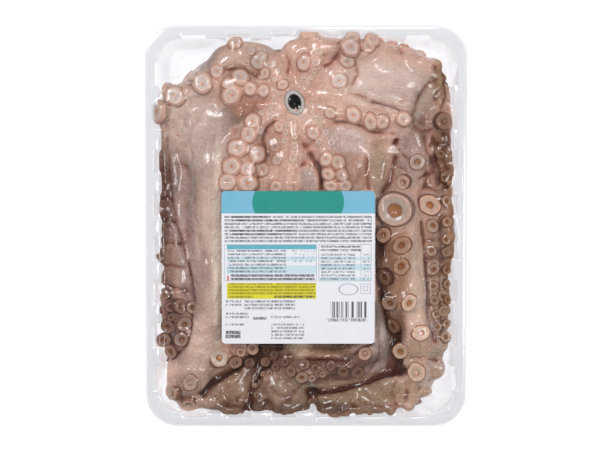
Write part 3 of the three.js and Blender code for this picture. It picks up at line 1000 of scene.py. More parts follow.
ARMS = {
    "top_right": Arm(
        (8, 10.5, 4), 0.3, 1.3, (4.6, 3.6),
        ((-9, 84, 40, 0), (2, 102, 42, 0), (9, 119, 45, -15), (29, 118, 43, -20), (54, 113, 38, -60),
         (76, 106, 37, -80), (87, 88, 37, -80), (90, 63, 37, -70), (91, 33, 36, -45), (89, 1, 36, -5),
         (89, -33, 35, 0), (91, -58, 32, 0), (91, -79, 27, 0), (88, -62, 15, 180), (86, -20, 15, 180)),
    ),
    "right": Arm(
        (7.5, 15, 14), 0.56, 1.15, (6.3, 5.8),
        ((-9, 84, 40, 0), (16, 78, 43, 15), (43, 75, 44, 35), (64, 71, 42, 30), (75, 57, 38, 0),
         (72, 39, 38, 5),
         (64, 14, 40, 20), (66, -22, 42, 35), (70, -56, 42, 35), (75, -82, 40, 25), (73, -98, 37, 0),
         (58, -108, 35, -70), (36, -110, 35, -120), (11, -110, 33, -130), (-10, -108, 22, 180)),
    ),
    "lower_right": Arm(
        (8, 10.5, 8), 0.4, 1.2, (5.0, 3.8),
        ((-9, 84, 40, 0), (8, 65, 43, 0), (18, 45, 43, 0), (23, 21, 42, 0), (37, -13, 40, 30),
         (48, -40, 39, 55),
         (51, -66, 41, 60), (42, -84, 41, 60), (19, -92, 41, 60), (-4, -95, 40, 45), (-24, -93, 32, 0)),
    ),
    "middle": Arm(
        (8, 16, 16), 0.8, 1.1, (5.2, 5),
        ((-9, 84, 40, 0), (-6, 61, 43, 30), (-8, 38, 43, 40), (-12, 8, 42, 90), (-7, -36, 41, 150),
         (-4, -72, 37, 180), (-11, -98, 33, 180), (-15, -120, 30, 180)),
    ),
    "lower_left": Arm(
        (8, 11, 14), 0.35, 1.15, (5.8, 5),
        ((-9, 84, 40, 0), (-29, 73, 43, 0), (-39, 57, 43, 0), (-45, 33, 42, 0), (-45, -2, 41, 20),
         (-42, -42, 41, 60), (-43, -79, 38, 20), (-46, -102, 34, 150), (-47, -119, 30, 180)),
    ),
    "left": Arm(
        (8, 16, 17), 0.6, 1.1, (6.4, 6),
        ((-9, 84, 38, 0), (-37, 80, 39, 120), (-60, 67, 40, 180), (-66, 38, 41, 180), (-65, -2, 42, 180),
         (-63, -42, 43, 180), (-69, -72, 42, 170), (-78, -97, 38, 110), (-76, -114, 33, 60)),
    ),
    "far_left": Arm(
        (7.5, 11, 5.5), 0.62, 1.35, (5.4, 5),
        ((-9, 84, 40, 0), (-29, 91, 43, 0), (-47, 94, 43, 0), (-67, 94, 41, 0), (-85, 85, 38, 10),
         (-92, 67, 36, 60),
         (-93, 38, 35, 80), (-92, 8, 36, 85), (-88, -19, 37, 90), (-86, -42, 37, 70), (-86, -66, 36, 10),
         (-89, -82, 31, 0)),
    ),
    "top_left": Arm(
        (8, 10.5, 6), 0.3, 1.2, (5.2, 4.5),
        ((-9, 84, 40, 0), (-19, 100, 43, 0), (-29, 112, 42, 0), (-44, 114.5, 40, -20), (-61, 104.5, 36, -90),
         (-73, 86, 27, 180), (-84, 51, 21, 180), (-85, 5, 19, 180), (-84, -52, 19, 180)),
    ),
}

# The web joins each pair of neighbouring arms out to these lengths of the two.
WEBS = (
    ("top_left", 42, "top_right", 42),
    ("top_right", 150, "right", 104),
    ("right", 118, "lower_right", 98),
    ("lower_right", 84, "middle", 76),
    ("middle", 80, "lower_left", 84),
    ("lower_left", 84, "left", 84),
    ("left", 78, "far_left", 100),
    ("far_left", 70, "top_left", 60),
)

# Suckers that show from above: x, y and radius, and for one that leans its angle and heading in degrees.
SHOWN_SUCKERS = (
    (-47.5, 123, 4), (-29.4, 113.6, 3.3), (-32.1, 109.6, 4), (-27.4, 102.3, 3.3), (-15.4, 94.9, 3),
    (-28.1, 90.9, 3.3), (-36.8, 92.2, 4), (-43.5, 100.2, 5), (-49.5, 88.2, 6), (-51.5, 95.6, 4),
    (-59.5, 103.6, 4.3), (-68.9, 96.2, 5.4), (-73.6, 101.6, 4, 55, 110), (-87.6, 87.5, 5.4),
    (-99, 76.8, 6, 50, 180), (-84.3, -53.6, 5.4, 55, 0), (-81.6, -65.7, 5.4), (-93, -67.7, 4.7),
    (-83.6, -75.7, 5.4), (-95.7, -77, 5.4), (-91, -84.4, 4.7), (-76.6, -54.5, 4.6, 30, 0), (-91, -54, 4),
    (-94.5, -46, 4, 40, 180), (-90.5, -61, 3), (-35.5, 70.8, 4.7), (-38.1, 62.1, 4.7), (-45.5, 52.8, 6),
    (-32.8, 48.7, 5.4), (-49.5, 40.7, 5.4), (-38.8, 38.7, 4.7), (-52.2, 30, 6), (-38.8, 29.3, 5.4),
    (-36.1, -82.4, 4), (-44, -84.5, 3.4), (-47.5, -91.5, 4.4), (-38, -92.5, 3.6), (-27.5, -92, 3.8),
    (-21.5, -87, 3.4), (-20.5, -95, 3.2), (-14, -91, 3), (-27, -84.5, 2.8), (-18.1, 66.8, 3.3),
    (-20.7, 53.4, 3.3), (-28.8, 38, 4), (-20.1, 26.7, 4), (-33, -97.5, 2.3), (-35.2, -102.5, 2.4),
    (-34.6, -108, 2.2), (-33.2, -113.5, 2.4), (-30.5, -118.8, 2.6), (-29, -100, 2), (-31, -105.5, 1.8),
    (-24.5, -99, 2.2), (4.7, 62.8, 3.8), (13.4, 45.4, 4), (21.4, 43.4, 4), (14.7, 35.4, 4), (24.1, 34.7, 4),
    (16.7, 27.3, 4), (26.1, 27.3, 4), (39.5, -85.1, 4.7), (34.8, -98.4, 4.7), (24.8, -97.1, 4.3),
    (16.7, -93.1, 3.7), (-1.3, -92.4, 4.3), (-2.7, -101.1, 4.3), (-10, -97.1, 4), (6.5, -95, 3.4),
    (4, -101.5, 2.8), (11, -99, 2.6), (29.5, -92.5, 2.6), (31, -87.5, 2.4), (16.1, 76.2, 3.3),
    (31.4, 74.8, 4.7), (42.8, 70.1, 4.7), (50.8, 70.1, 4), (64.9, 72.2, 4.7), (74.3, 43.4, 5.7),
    (64.9, 30, 5.4, 34, 200), (83, 14.6, 7.8), (52.2, -5.5, 6), (64.2, -12.1, 6.4), (63.6, -26.2, 6.4),
    (52.9, -33.6, 6, 60, 200), (56.2, -50.9, 6), (68.9, -50.3, 5.7), (58.9, -67, 5.4, 60, 200),
    (76.9, -71, 5.7), (63.6, -83.7, 5.4), (74.3, -97.8, 6.4), (-1.3, 109.6, 4.7), (22.1, 97.6, 4.7),
    (27.4, 110.3, 4), (29.4, 119.7, 5.4), (41.5, 120.3, 4), (30.8, 126.3, 4), (44.2, 125, 4),
    (91.6, 70.8, 6.4, 35, 0), (93.5, 17.5, 4, 30, 0), (90, 48.5, 3.4, 30, 200), (93, 33.5, 4.2, 35, 20),
    (94, 3.5, 3.9, 30, 10), (86.5, -50, 3.6), (87.5, -59.5, 3.4), (88.5, -68, 3.2), (85, 0.6, 5),
    (84.3, -16.2, 4.3), (85.6, -28.9, 4.3), (85.6, -40.2, 4), (91.7, -46.9, 4), (93, -57, 4.4),
    (94.5, -66, 3.4, 40, 0), (93.7, -74.4, 4.2), (93.7, -8.4, 3.6, 25, 40), (94, -16.8, 3.5, 34, 350),
    (94.3, -29.2, 3.6, 30, 0), (94.6, -38.9, 3.2, 34, 10), (95, -49.5, 3.4, 40, 0), (-77.6, -104.5, 6),
    (-58.9, -89.1, 6.4, 32, 40), (-89.6, -112.5, 5.4, 60, 180), (-78.9, -119.2, 5.4, 60, 270),
    (-60.9, -113.8, 2.7),
)


# ---- Octopus: its flesh ----


@dataclass(frozen=True)
class Lobe:
    """A rounded lump of flesh: its centre, radii and turn about z in degrees."""

    centre: tuple[float, float, float]
    radii: tuple[float, float, float]
    turn: float


@dataclass(frozen=True)
class Fold:
    """A crease or ridge along a line on the upper side.

    It has its points, half width, height, which is negative for a crease, and how dark painted shade makes it
    inside, from 0 to 1.
    """

    points: tuple[Place, ...]
    width: float
    height: float
    dark: float = 0.0


@dataclass(frozen=True)
class Tone:
    """A patch of skin colour: its middle, half sizes, turn in degrees, colour and strength."""

    centre: Place
    half: Place
    turn: float
    colour: Colour
    strength: float


# Lumps: centre, radii and turn in degrees.
LOBES = [
    Lobe((x, y, z), (wide, long, tall), turn)
    for x, y, z, wide, long, tall, turn in (
        (-9, 84, 20, 42, 36, 20, 0), (0, -14, 9, 92, 110, 14, 0), (3, 127, 40, 8, 6, 5, 0),
        (-6, 118, 33, 11, 8, 9, 0), (54, 100, 25, 36, 19, 15, -8), (-66, 66, 24, 22, 34, 15.5, -12),
        (-93, 92, 33, 5, 6, 5, 20), (78, 108, 35, 8, 5, 4, -30), (89, 98, 33, 6, 7, 4, -60),
        (90, -97, 31, 4, 6, 5, 0), (90, -79, 29, 6, 10, 9, 0), (80, -112, 29, 7, 5, 5, 30),
        (-89, -112, 30, 7, 6, 6, 0), (-78, -120, 30, 8, 6, 5, 0), (-77, -104, 26, 18, 18, 14, 0),
        (-49, -112, 28, 15, 15, 11, 0), (-17, -111, 28, 17, 16, 11, 0), (22, -117, 28, 19, 10, 10, 0),
        (50, -117, 28, 19, 10, 10, 0), (73, -109, 28, 9, 13, 10, 0), (88, -95, 25, 7, 9, 9, 0),
        (-61, -120, 36, 5, 4, 6, 20), (-49, -124.5, 36, 8, 5, 6, 0), (-34, -120, 31, 8, 9, 8, 0),
        (-15, -124.5, 35, 11, 6.5, 6, 0), (20, -125, 35, 14, 6, 6, 0), (40, -124.5, 35, 8, 5, 6, 0),
        (54, -124, 35, 8, 5, 6, 0), (69, -121, 35, 6, 5, 6, 0), (-45, 77, 30, 11, 16, 12.5, 10),
        (-95, -55, 27, 5, 13, 9, 0), (-69, -117.5, 33, 7, 7, 7, 0), (-88, -99, 28, 6, 12, 9, 0),
        (-79, -120, 31, 8, 6, 6, 0), (-5, -121, 33, 8, 7, 7, 0), (96, 32, 33, 5, 12, 8, 0),
        (96, -5, 33, 5, 24, 8, 0), (86, 106, 31, 7, 8, 6, 0), (-95, 12, 27, 6, 7, 9, 0),
        (-95, -4, 27, 6, 7, 9, 0), (-95, -20, 27, 6, 7, 9, 0), (-94, -34, 27, 6, 6, 9, 0),
    )
]

# Creases and ridges: half width, height, darkness of the painted shade inside and the line's points.
FOLDS = [
    Fold(tuple(points), width, height, dark)
    for width, height, dark, *points in (
        # the upper left arms and their web
        (1.3, -1.8, 0.5, (-57, 106), (-50, 105), (-43, 105.5), (-38, 103.5), (-33, 101)),
        (3, 1.2, 0, (-56, 109), (-48, 110), (-38, 108)), (2.4, -0.8, 0, (-46, 88), (-42, 82), (-41, 74)),
        (1.3, -1.2, 0.3, (-14, 116), (-11, 109), (-12, 103)),
        (1.6, -1.2, 0.1, (-30, 119), (-24, 112), (-21, 104)),
        (1.2, -1.4, 0.3, (-60, 99), (-58, 96), (-56, 90)), (2, -1, 0.2, (-77, 96), (-78, 90)),
        (1.2, -1.4, 0.3, (-93, 84), (-91, 76), (-94, 66)),
        (0.8, -0.9, 0.35, (-87, 62), (-80, 58), (-77, 52), (-76, 46)),
        (1, -1.2, 0.3, (-60, 62), (-64, 52), (-67, 43), (-71, 36)),
        # the left side
        (0.9, -2.2, 0.5, (-93, 60), (-91, 44), (-90, 28), (-87, 10), (-84, -4), (-80, -20),
         (-77, -34), (-76, -48)),
        (1.2, 1, 0, (-83, -6), (-78, -22), (-74.5, -36), (-73, -50)),
        (2.2, -0.9, 0, (-80, 40), (-76, 20), (-73, 0), (-70, -20)),
        (1.1, -3, 0.9, (-99, 18), (-94, 20), (-88, 18)), (1.1, -3, 0.9, (-99, 2), (-93, 5), (-86, 3)),
        (1, -3, 0.8, (-99, -13), (-92, -11), (-83, -12)),
        (1, -2.8, 0.8, (-99, -28), (-91, -26), (-81, -28)),
        (1, -2.6, 0.8, (-99, -42), (-89, -41), (-80, -44)), (1.6, -1, 0.3, (-97, 52), (-97, 36), (-95, 24)),
        # the left arm's lobe and the dark crevice beside it
        (1.3, -3, 0.6, (-75, -48), (-77.5, -60), (-78, -70), (-80, -78), (-85, -84), (-91, -89)),
        (1.8, -2.4, 0.7, (-90, -50), (-91, -60), (-89, -70), (-90, -80)),
        (2.4, -7, 1, (-72, -114), (-66, -110), (-62, -105), (-55, -99), (-47, -96), (-41, -92),
         (-35, -88), (-30, -84)),
        (1.2, 1.6, 0, (-70, -110), (-64, -104), (-57, -97), (-52, -95)),
        (1.6, -3, 0.9, (-45, -93), (-38, -94), (-28, -96), (-24, -92)),
        (2.4, -3.4, 1, (-32, -90), (-32, -99), (-35, -108), (-37, -115), (-40, -122)),
        (2, -3, 0.8, (-30, -86), (-26, -79), (-20, -80)),
        (2, -1.6, 0.5, (-15, -119), (-8, -113), (-2, -106), (2, -104)),
        (1.2, -1.6, 0.6, (-52, -84), (-47, -88), (-44, -84)),
        (1.2, -1.4, 0.3, (-87, -106), (-84, -113), (-82, -119)),
        # under the mouth
        (1.4, -2.4, 0.4, (-20, 70), (-25, 66), (-28, 60), (-28, 54), (-26, 48)),
        (1.6, -2.2, 0.5, (-26, 48), (-28, 42), (-32, 34), (-32, 26)),
        (2.2, -1.8, 0.15, (-3, 59), (1, 52), (4, 46)), (1.3, -2.2, 0.5, (3, 47.5), (5, 44), (7, 41)),
        (1.9, -4.6, 0.95, (6.5, 42), (8, 39.5), (9.5, 36), (10.5, 25)),
        (1.6, 1.8, 0, (2, 39), (6, 36), (8, 29), (8, 24)),
        (1.1, -1.6, 0.4, (-9, 24), (-8, 32), (-4, 40), (0, 43)), (2.4, 1, 0, (-18, 58), (-10, 60), (0, 58)),
        (0.8, 0.8, 0, (10, 50), (5, 53), (0, 50)), (1.3, -1.6, 0.3, (42, 48), (41, 38), (42, 25)),
        (3, 2, 0, (51, 50), (50, 38), (48, 25)), (1.7, -4, 0.8, (60, 46), (58, 38), (56, 30), (52, 23)),
        (1, -0.7, 0, (35, 46), (35, 28)), (0.9, 0.6, 0, (39, 45), (38, 27)),
        (2, -3.6, 1, (60.4, 57.5), (59.6, 55)), (1.4, 1, 0, (50, 53), (57, 49), (66, 50)),
        # the right web and its turned edge
        (2, -3, 0.5, (14, 107), (18, 110), (22, 115), (23, 122)),
        (1.5, -2.2, 0.6, (28, 113), (33, 116), (38, 118), (48, 121)),
        (1.6, -1, 0.05, (30, 114), (33, 109), (34, 102), (31, 95)),
        (1.6, -1.2, 0.1, (30, 89), (38, 87.5), (45, 84)),
        (1.3, -3, 0.6, (45, 84), (52, 82.5), (58, 81), (64, 78), (71, 75)),
        (2.2, 1.6, 0, (28, 86), (42, 82), (56, 78), (70, 72)),
        (1.3, -2, 0.4, (20, 70), (34, 68), (46, 63), (58, 62)), (1.6, 1.2, 0, (28, 62), (44, 58), (60, 64)),
        (0.9, -2.2, 0.4, (84, 98), (78, 91), (74, 83), (72, 76), (72, 69)),
        (3.2, 1.6, 0, (86, 92), (80, 86), (78, 78)),
        (1.2, -1.6, 0.4, (86, 112), (87, 104), (87, 92), (86, 80)), (1.8, -2, 0.5, (62, 122), (64, 117)),
        (1.4, -1.8, 0.5, (72, 68), (78, 64), (86, 66)),
        (1.6, -2.2, 0.5, (80, 60), (82, 50), (88, 40), (88, 28)),
        (1.3, -1.6, 0.4, (62, 51), (69, 45), (79, 42)),
        (1.3, -1.6, 0.35, (75, 47), (80, 40), (81, 31), (79, 25)),
        (1.3, -1.8, 0.5, (84, 62), (86, 50), (84, 40), (88, 29)),
        (1.2, -1.4, 0.35, (62, 40), (68, 37), (74, 37)),
        (1.6, -2.2, 0.6, (96, 60), (91, 48), (94, 36), (92, 26)),
        (1, -2, 0.5, (81, 26), (88, 24), (97, 27)), (1, -2, 0.5, (76, 32), (83, 35), (91, 35), (98, 33)),
        (0.9, -1.8, 0.45, (80, 43), (88, 45), (97, 43)), (0.9, -1.8, 0.5, (83, 54), (90, 56), (98, 53)),
        (0.9, -1.8, 0.5, (86, 64), (92, 62), (98, 64)), (1, -2, 0.7, (90, 78), (94, 88), (92, 104)),
        (1, -1.6, 0.5, (85, 84), (90, 92), (97, 90)),
        # the right arm, the column beside it and the curl
        (1.2, -2.4, 0.5, (78, 3), (80, -15), (82, -40), (83, -60), (87, -78)),
        (1.2, -2, 0.6, (89.5, 6), (90, -20), (90, -50), (92, -76)), (1.3, -1.4, 0.5, (82, 8), (97, 7)),
        (1.2, -1.6, 0.5, (82, -9), (98, -10)), (1.2, -1.6, 0.5, (82, -22), (98, -21)),
        (1.2, -1.6, 0.5, (82, -34), (98, -32)), (1.2, -1.4, 0.4, (84, -53), (98, -52)),
        (3, -5.4, 1, (49, -4), (49, -22), (50, -40), (54, -55), (59, -70)),
        (3, -6, 1, (59, -68), (60, -78), (61, -90), (58, -98)),
        (2.2, -5, 1, (56, -98), (46, -102.5), (34, -107), (20, -110), (4, -112)),
        (1, -1.4, 0.3, (47, -70), (50, -80), (49, -90), (43, -98), (34, -103), (18, -104)),
        (1.6, -3, 0.8, (44, -78), (34, -84), (28, -90), (14, -88), (0, -88)),
        (2.4, -8, 0.6, (6, -126), (5, -120), (3, -112)), (1, 0.9, 0, (10, -112), (26, -111), (40, -108)),
        (1.2, -1.2, 0.4, (44, -120), (52, -121), (60, -119)), (2, -3, 1, (62, -99), (64, -96), (68, -98)),
        (1.4, -1.6, 0.5, (60, -104), (58, -112), (61, -119)),
        (1.3, -1.4, 0.3, (70, -92), (68, -100), (70, -108)),
        (1.2, -1.6, 0.5, (-58, -112), (-52, -117), (-44, -116)),
        (1.2, -1.8, 0.6, (-26, -104), (-20, -112), (-10, -116)),
        (1.2, -1.6, 0.4, (66, -104), (68, -112), (66, -120)),
        (1.3, -1.4, 0.3, (70, -88), (80, -89), (92, -92)), (1.6, -2, 0.8, (24, 22), (18, 24), (14, 22)),
    )
]

# Middles and half sizes of the places where the skin is crumpled.
CRUMPLED = (
    ((91, 44), (8, 26)), ((95, 0), (4, 80)), ((-28, -88), (22, 8)), ((36, -124), (34, 5)),
    ((-50, -122), (14, 6)),
    ((-22, -122), (14, 6)), ((-95, 5), (5, 45)), ((91, 97), (7, 16)), ((-86, 94), (10, 6)),
    ((84, -108), (9, 9)),
)
# And of those where it is warty, and where it is drawn smooth.
WARTY = (
    ((-48, -108), (15, 11)), ((-16, -108), (15, 11)), ((36, -115), (34, 7)), ((12, 114), (14, 10)),
    ((-80, -112), (12, 9)),
)
SMOOTH = (((54, 99), (26, 13)), ((-62, 62), (15, 28)), ((-64, -10), (8, 42)), ((74, -40), (5, 36)))

# Patches of colour, a few of them painted shade, painted light or a painted sheen: middle, half sizes, turn
# in degrees, red, green and blue of 0 to 255, and strength.
TONES = [
    Tone((x, y), (wide, high), turn, linear(red, green, blue), strength)
    for x, y, wide, high, turn, red, green, blue, strength in (
        (-94, 10, 8, 62, 0, 84, 42, 26, 0.9),  # the far left arm's flank
        (-80, -8, 9, 45, 3, 189, 161, 152, 0.9),  # mauve band beside it
        (-64, -12, 9, 48, 2, 223, 194, 177, 0.9),  # pale band of the left arm
        (-73, 66, 22, 34, 15, 215, 190, 176, 0.8),  # web by the left arms
        (-25, 51, 7, 14, -10, 170, 125, 104, 0.7), (-40, 112, 22, 14, 10, 195, 163, 146, 0.7),
        (54, 95, 32, 16, -8, 229, 203, 189, 0.9),  # the great web at the right
        (77, 81, 8, 18, -15, 174, 150, 135, 0.9),  # its turned edge
        (90, 97, 6, 15, 0, 151, 115, 81, 0.9),
        (92, 48, 7, 32, 0, 129, 90, 66, 0.95),  # wet outer skin beside it
        (69, 47, 12, 18, 0, 172, 145, 135, 0.8), (33, 41, 12, 16, 0, 184, 141, 121, 0.7),
        (49, 38, 6, 19, 5, 175, 149, 126, 0.9),  # olive fold
        (74, -36, 8, 46, 0, 228, 196, 172, 0.8), (60, -20, 9, 52, 0, 152, 106, 74, 0.8),
        (90, -36, 9, 58, 0, 157, 127, 107, 0.9),  # the column of small suckers
        (50, -72, 7, 26, 0, 200, 178, 170, 0.9),  # the curl's purple turn
        (19, -90, 28, 8, 0, 116, 78, 63, 0.95),
        (36, -112, 36, 10, 0, 151, 125, 98, 0.95),  # the right arm's end
        (-11, -110, 17, 14, 0, 156, 127, 106, 0.95), (-50, -110, 13, 14, 0, 162, 127, 103, 0.9),
        (-5, -83, 9, 6, 0, 237, 210, 179, 0.9),
        (-26, -91, 25, 9, 0, 108, 69, 54, 0.9),  # dark cluster of small suckers
        (59.5, 11.9, 13, 13, 0, 193, 163, 149, 0.9),  # under the outsize sucker
        (-74, -80, 17, 22, -15, 229, 196, 179, 0.9), (-77, -110, 17, 11, 0, 182, 150, 134, 0.9),
        (-89, -66, 10, 22, 0, 128, 90, 78, 0.9),
        (98, -20, 4, 60, 0, 145, 99, 57, 0.8),  # outer edge of the column
        (34, -124, 34, 5, 0, 128, 96, 74, 0.85),  # ragged lower edges
        (-35, -123, 30, 5, 0, 128, 96, 78, 0.85), (80, -108, 14, 12, 0, 196, 165, 139, 0.8),
        (8.6, 72.4, 4.2, 2, -10, 204, 183, 163, 0.7),  # pale spot below the mouth
        (89, -88, 7, 9, 0, 193, 169, 152, 0.85), (72, -84, 9, 9, 0, 173, 144, 120, 0.8),
        # the second patch is a painted pale sheen of the film over the web beside the mouth
        (-42, 81, 8, 7, 0, 192, 138, 114, 0.7), (27, 58, 14, 8, -15, 221, 200, 191, 0.8),
        # the second patch is painted shade in the gap between the curl and the right arm
        (12, -84, 12, 5, 0, 187, 149, 115, 0.8), (58, -92, 4, 9, 0, 124, 82, 66, 0.85),
        # the second patch is painted shade in the gap between the curl and the right arm
        (30, 118, 14, 8, 0, 203, 164, 148, 0.7), (52, -48, 4, 18, 0, 91, 54, 33, 0.9),
        (2, 32, 5, 8, 15, 194, 174, 165, 0.8), (77, 64, 8, 8, 0, 138, 100, 84, 0.7),
        # the first patch is painted light that lifts the shade beside the label; the second is painted shade
        # in the gap by the curl
        (-58.5, -20, 3.4, 66, 0, 250, 226, 204, 0.9), (64, -97, 4.5, 4.5, 0, 72, 36, 28, 0.95),
        (-67, -27, 4, 14, 3, 177, 143, 131, 0.8), (-90, -20, 5, 15, 0, 169, 132, 113, 0.7),
        (45, -95.5, 6, 2.8, 20, 191, 166, 160, 0.8), (16, -122, 14, 4.5, 0, 98, 70, 52, 0.8),
        (-10, -122, 14, 4.5, 0, 104, 78, 62, 0.7), (-33, -121, 8, 4.5, 0, 104, 76, 60, 0.7),
        # painted shade in the gap between the curl and the right arm
        (63, -68, 4.5, 11, 0, 120, 82, 58, 0.8),
    )
]


class Relief:
    """The flesh's surface as arrays in millimetres, for folds, limits and paint."""

    PATCHED_FROM = 18.0  # heights from which patches and folds show
    FOLDED_FROM = 20.0
    HEIGHTS = (1.35, 45.4)  # above the tray's floor and under the film
    INSET_HEIGHTS = (1.3, 4.0, 38.6, 39.6, 46.0)  # where the outline's insets are given
    CREVICES = ((6, 0.55), (24, 1.5))  # rounds of spreading that find a crevice, and its full depth

    def __init__(self, mesh: bpy.types.Mesh) -> None:
        """Reads a mesh.

        Args:
            mesh: The closed flesh.
        """
        self.mesh = mesh
        count = len(mesh.vertices)
        self.co = np.empty(count * 3)
        mesh.vertices.foreach_get("co", self.co)
        self.co = self.co.reshape(-1, 3)
        ends = np.empty(len(mesh.edges) * 2, int)
        mesh.edges.foreach_get("vertices", ends)
        self.ends = ends.reshape(-1, 2)
        # how much painted shade darkens each vertex inside a crease
        self.crease_shade = np.zeros(count)
        self.degree = np.bincount(self.ends.ravel(), minlength=count)

    def normals(self) -> np.ndarray:
        """The vertices' outward directions for their present places."""
        self.write()
        found = np.empty(len(self.co) * 3, np.float32)
        self.mesh.vertex_normals.foreach_get("vector", found)
        return found.reshape(-1, 3).astype(float)

    def write(self) -> None:
        """Puts the places back in the mesh."""
        self.mesh.vertices.foreach_set("co", self.co.ravel())
        self.mesh.update()

    def averaged(self, values: np.ndarray, rounds: int) -> np.ndarray:
        """Values spread to their neighbours.

        Args:
            values: One row a vertex.
            rounds: How many times they are spread.

        Returns:
            The spread values.
        """
        flat = values.reshape(len(self.co), -1)
        one, other = self.ends[:, 0], self.ends[:, 1]
        for _ in range(rounds):
            sums = [
                np.bincount(one, column[other], len(flat)) + np.bincount(other, column[one], len(flat))
                for column in flat.T
            ]
            flat = 0.4 * flat + 0.6 * np.column_stack(sums) / self.degree[:, None]
        return flat.reshape(values.shape)

    def cover(self, patches: Patches) -> np.ndarray:
        """How far each vertex lies within some patches of the upper side.

        Args:
            patches: Their middles and half sizes, or none for the whole surface.

        Returns:
            The shares from 0 to 1.
        """
        share = np.zeros(len(self.co)) if patches else np.ones(len(self.co))
        for middle, half in patches:
            away = np.hypot(*((self.co[:, :2] - middle) / half).T)
            share = np.maximum(share, eased(1.8 - 1.2 * away) * (self.co[:, 2] > self.PATCHED_FROM))
        return share

    def smooth(self, rounds: int, patches: Patches = ()) -> None:
        """Evens out the surface, or only some patches of it."""
        share = self.cover(patches)[:, None]
        self.co = self.co * (1 - share) + self.averaged(self.co, rounds) * share

    def push(self, amount: np.ndarray) -> None:
        """Moves the surface outwards by an amount at each vertex."""
        self.co = self.co + self.normals() * amount[:, None]

    def distance_to(self, points: Sequence[Place], some: np.ndarray) -> np.ndarray:
        """How far some vertices lie in plan from a line.

        Args:
            points: The line's points.
            some: Which vertices.

        Returns:
            Their distances.
        """
        line, _ = flowing(np.array([(*p, 0.0) for p in points], float), 1.5)
        plan = self.co[some, :2]
        nearest = np.full(len(plan), np.inf)
        for a, b in pairwise(line[:, :2]):
            along = b - a
            share = np.clip(((plan - a) @ along) / max(along @ along, 1e-9), 0, 1)
            nearest = np.minimum(nearest, np.linalg.norm(plan - a - share[:, None] * along, axis=1))
        return nearest

    def fold(self, folds: Iterable[Fold]) -> None:
        """Presses creases and raises ridges on the upper side, and notes how much painted shade darkens each
        crease.

        Args:
            folds: The folds.
        """
        upper = eased(self.normals()[:, 2] * 2.5) * (self.co[:, 2] > self.FOLDED_FROM)
        amount = np.zeros(len(self.co))
        for fold in folds:
            low = np.min(fold.points, axis=0) - 4 * fold.width
            high = np.max(fold.points, axis=0) + 4 * fold.width
            near = np.all((self.co[:, :2] > low) & (self.co[:, :2] < high), axis=1)
            if near.any():
                gap = self.distance_to(fold.points, near) / fold.width
                share = np.exp(-gap * gap) * upper[near]
                amount[near] += fold.height * share
                self.crease_shade[near] = np.maximum(self.crease_shade[near], fold.dark * share)
        self.push(amount)

    def ripple(self, size: float, height: float, seed: float, patches: Patches = ()) -> None:
        """Pushes the surface in and out by soft noise.

        Args:
            size: The ripples' size.
            height: Their height.
            seed: An offset that sets them apart.
            patches: Middles and half sizes of the only places that they reach, where they don't reach all.
        """
        scaled = self.co / size + seed
        share = self.cover(patches)
        some = share > 0.01
        amount = np.zeros(len(scaled))
        amount[some] = [noise.noise(Vector(p)) for p in scaled[some]]
        self.push(amount * share * height)

    def keep_in(self, tray: Tray) -> None:
        """Holds the surface inside the tray, and inside the film over the flange.

        Args:
            tray: The tray.
        """
        z = np.clip(self.co[:, 2], *self.HEIGHTS)
        wall = tray.flange + tray.draft
        inset = np.interp(z, self.INSET_HEIGHTS, (wall + 3.2, wall + 0.5, tray.flange + 0.5, 5.2, 5.2))
        half = np.column_stack([tray.width / 2 - inset, tray.length / 2 - inset])
        radius = tray.corner_radius(inset)
        x, y = self.co[:, 0], self.co[:, 1]
        spare = np.where(z < tray.depth, tray.recess(x, y, z) * 0.6, 0.0)
        past = np.abs(self.co[:, :2]) - (half - radius[:, None])
        outside = np.maximum(past, 0.0)
        reach = np.linalg.norm(outside, axis=1)
        depth = reach + np.minimum(past.max(axis=1), 0.0) - radius
        square = past[:, 0] > past[:, 1]
        straight = np.column_stack([square, ~square]).astype(float)
        facing = np.where((reach > 1e-9)[:, None], outside / np.maximum(reach, 1e-9)[:, None], straight)
        self.co[:, :2] -= np.sign(self.co[:, :2]) * facing * np.maximum(depth - spare, 0.0)[:, None]
        self.co[:, 2] = z

    def hollowness(self) -> np.ndarray:
        """How deep each vertex lies in a crevice, from 0 to about 1."""
        normal = self.normals()
        deep = np.zeros(len(self.co))
        for rounds, depth in self.CREVICES:
            rise = ((self.averaged(self.co, rounds) - self.co) * normal).sum(axis=1)
            deep = np.maximum(deep, np.clip(rise / depth, 0, 1))
        return self.averaged(deep, 1)

    def keep(self, name: str, values: np.ndarray) -> None:
        """Keeps a number or a colour at each vertex for the finish.

        Args:
            name: The attribute's name.
            values: One number or one colour a vertex.
        """
        kind, part = ("FLOAT", "value") if values.ndim == 1 else ("FLOAT_COLOR", "color")
        kept = self.mesh.attributes.new(name, kind, "POINT")
        kept.data.foreach_set(part, values.astype(np.float32).ravel())


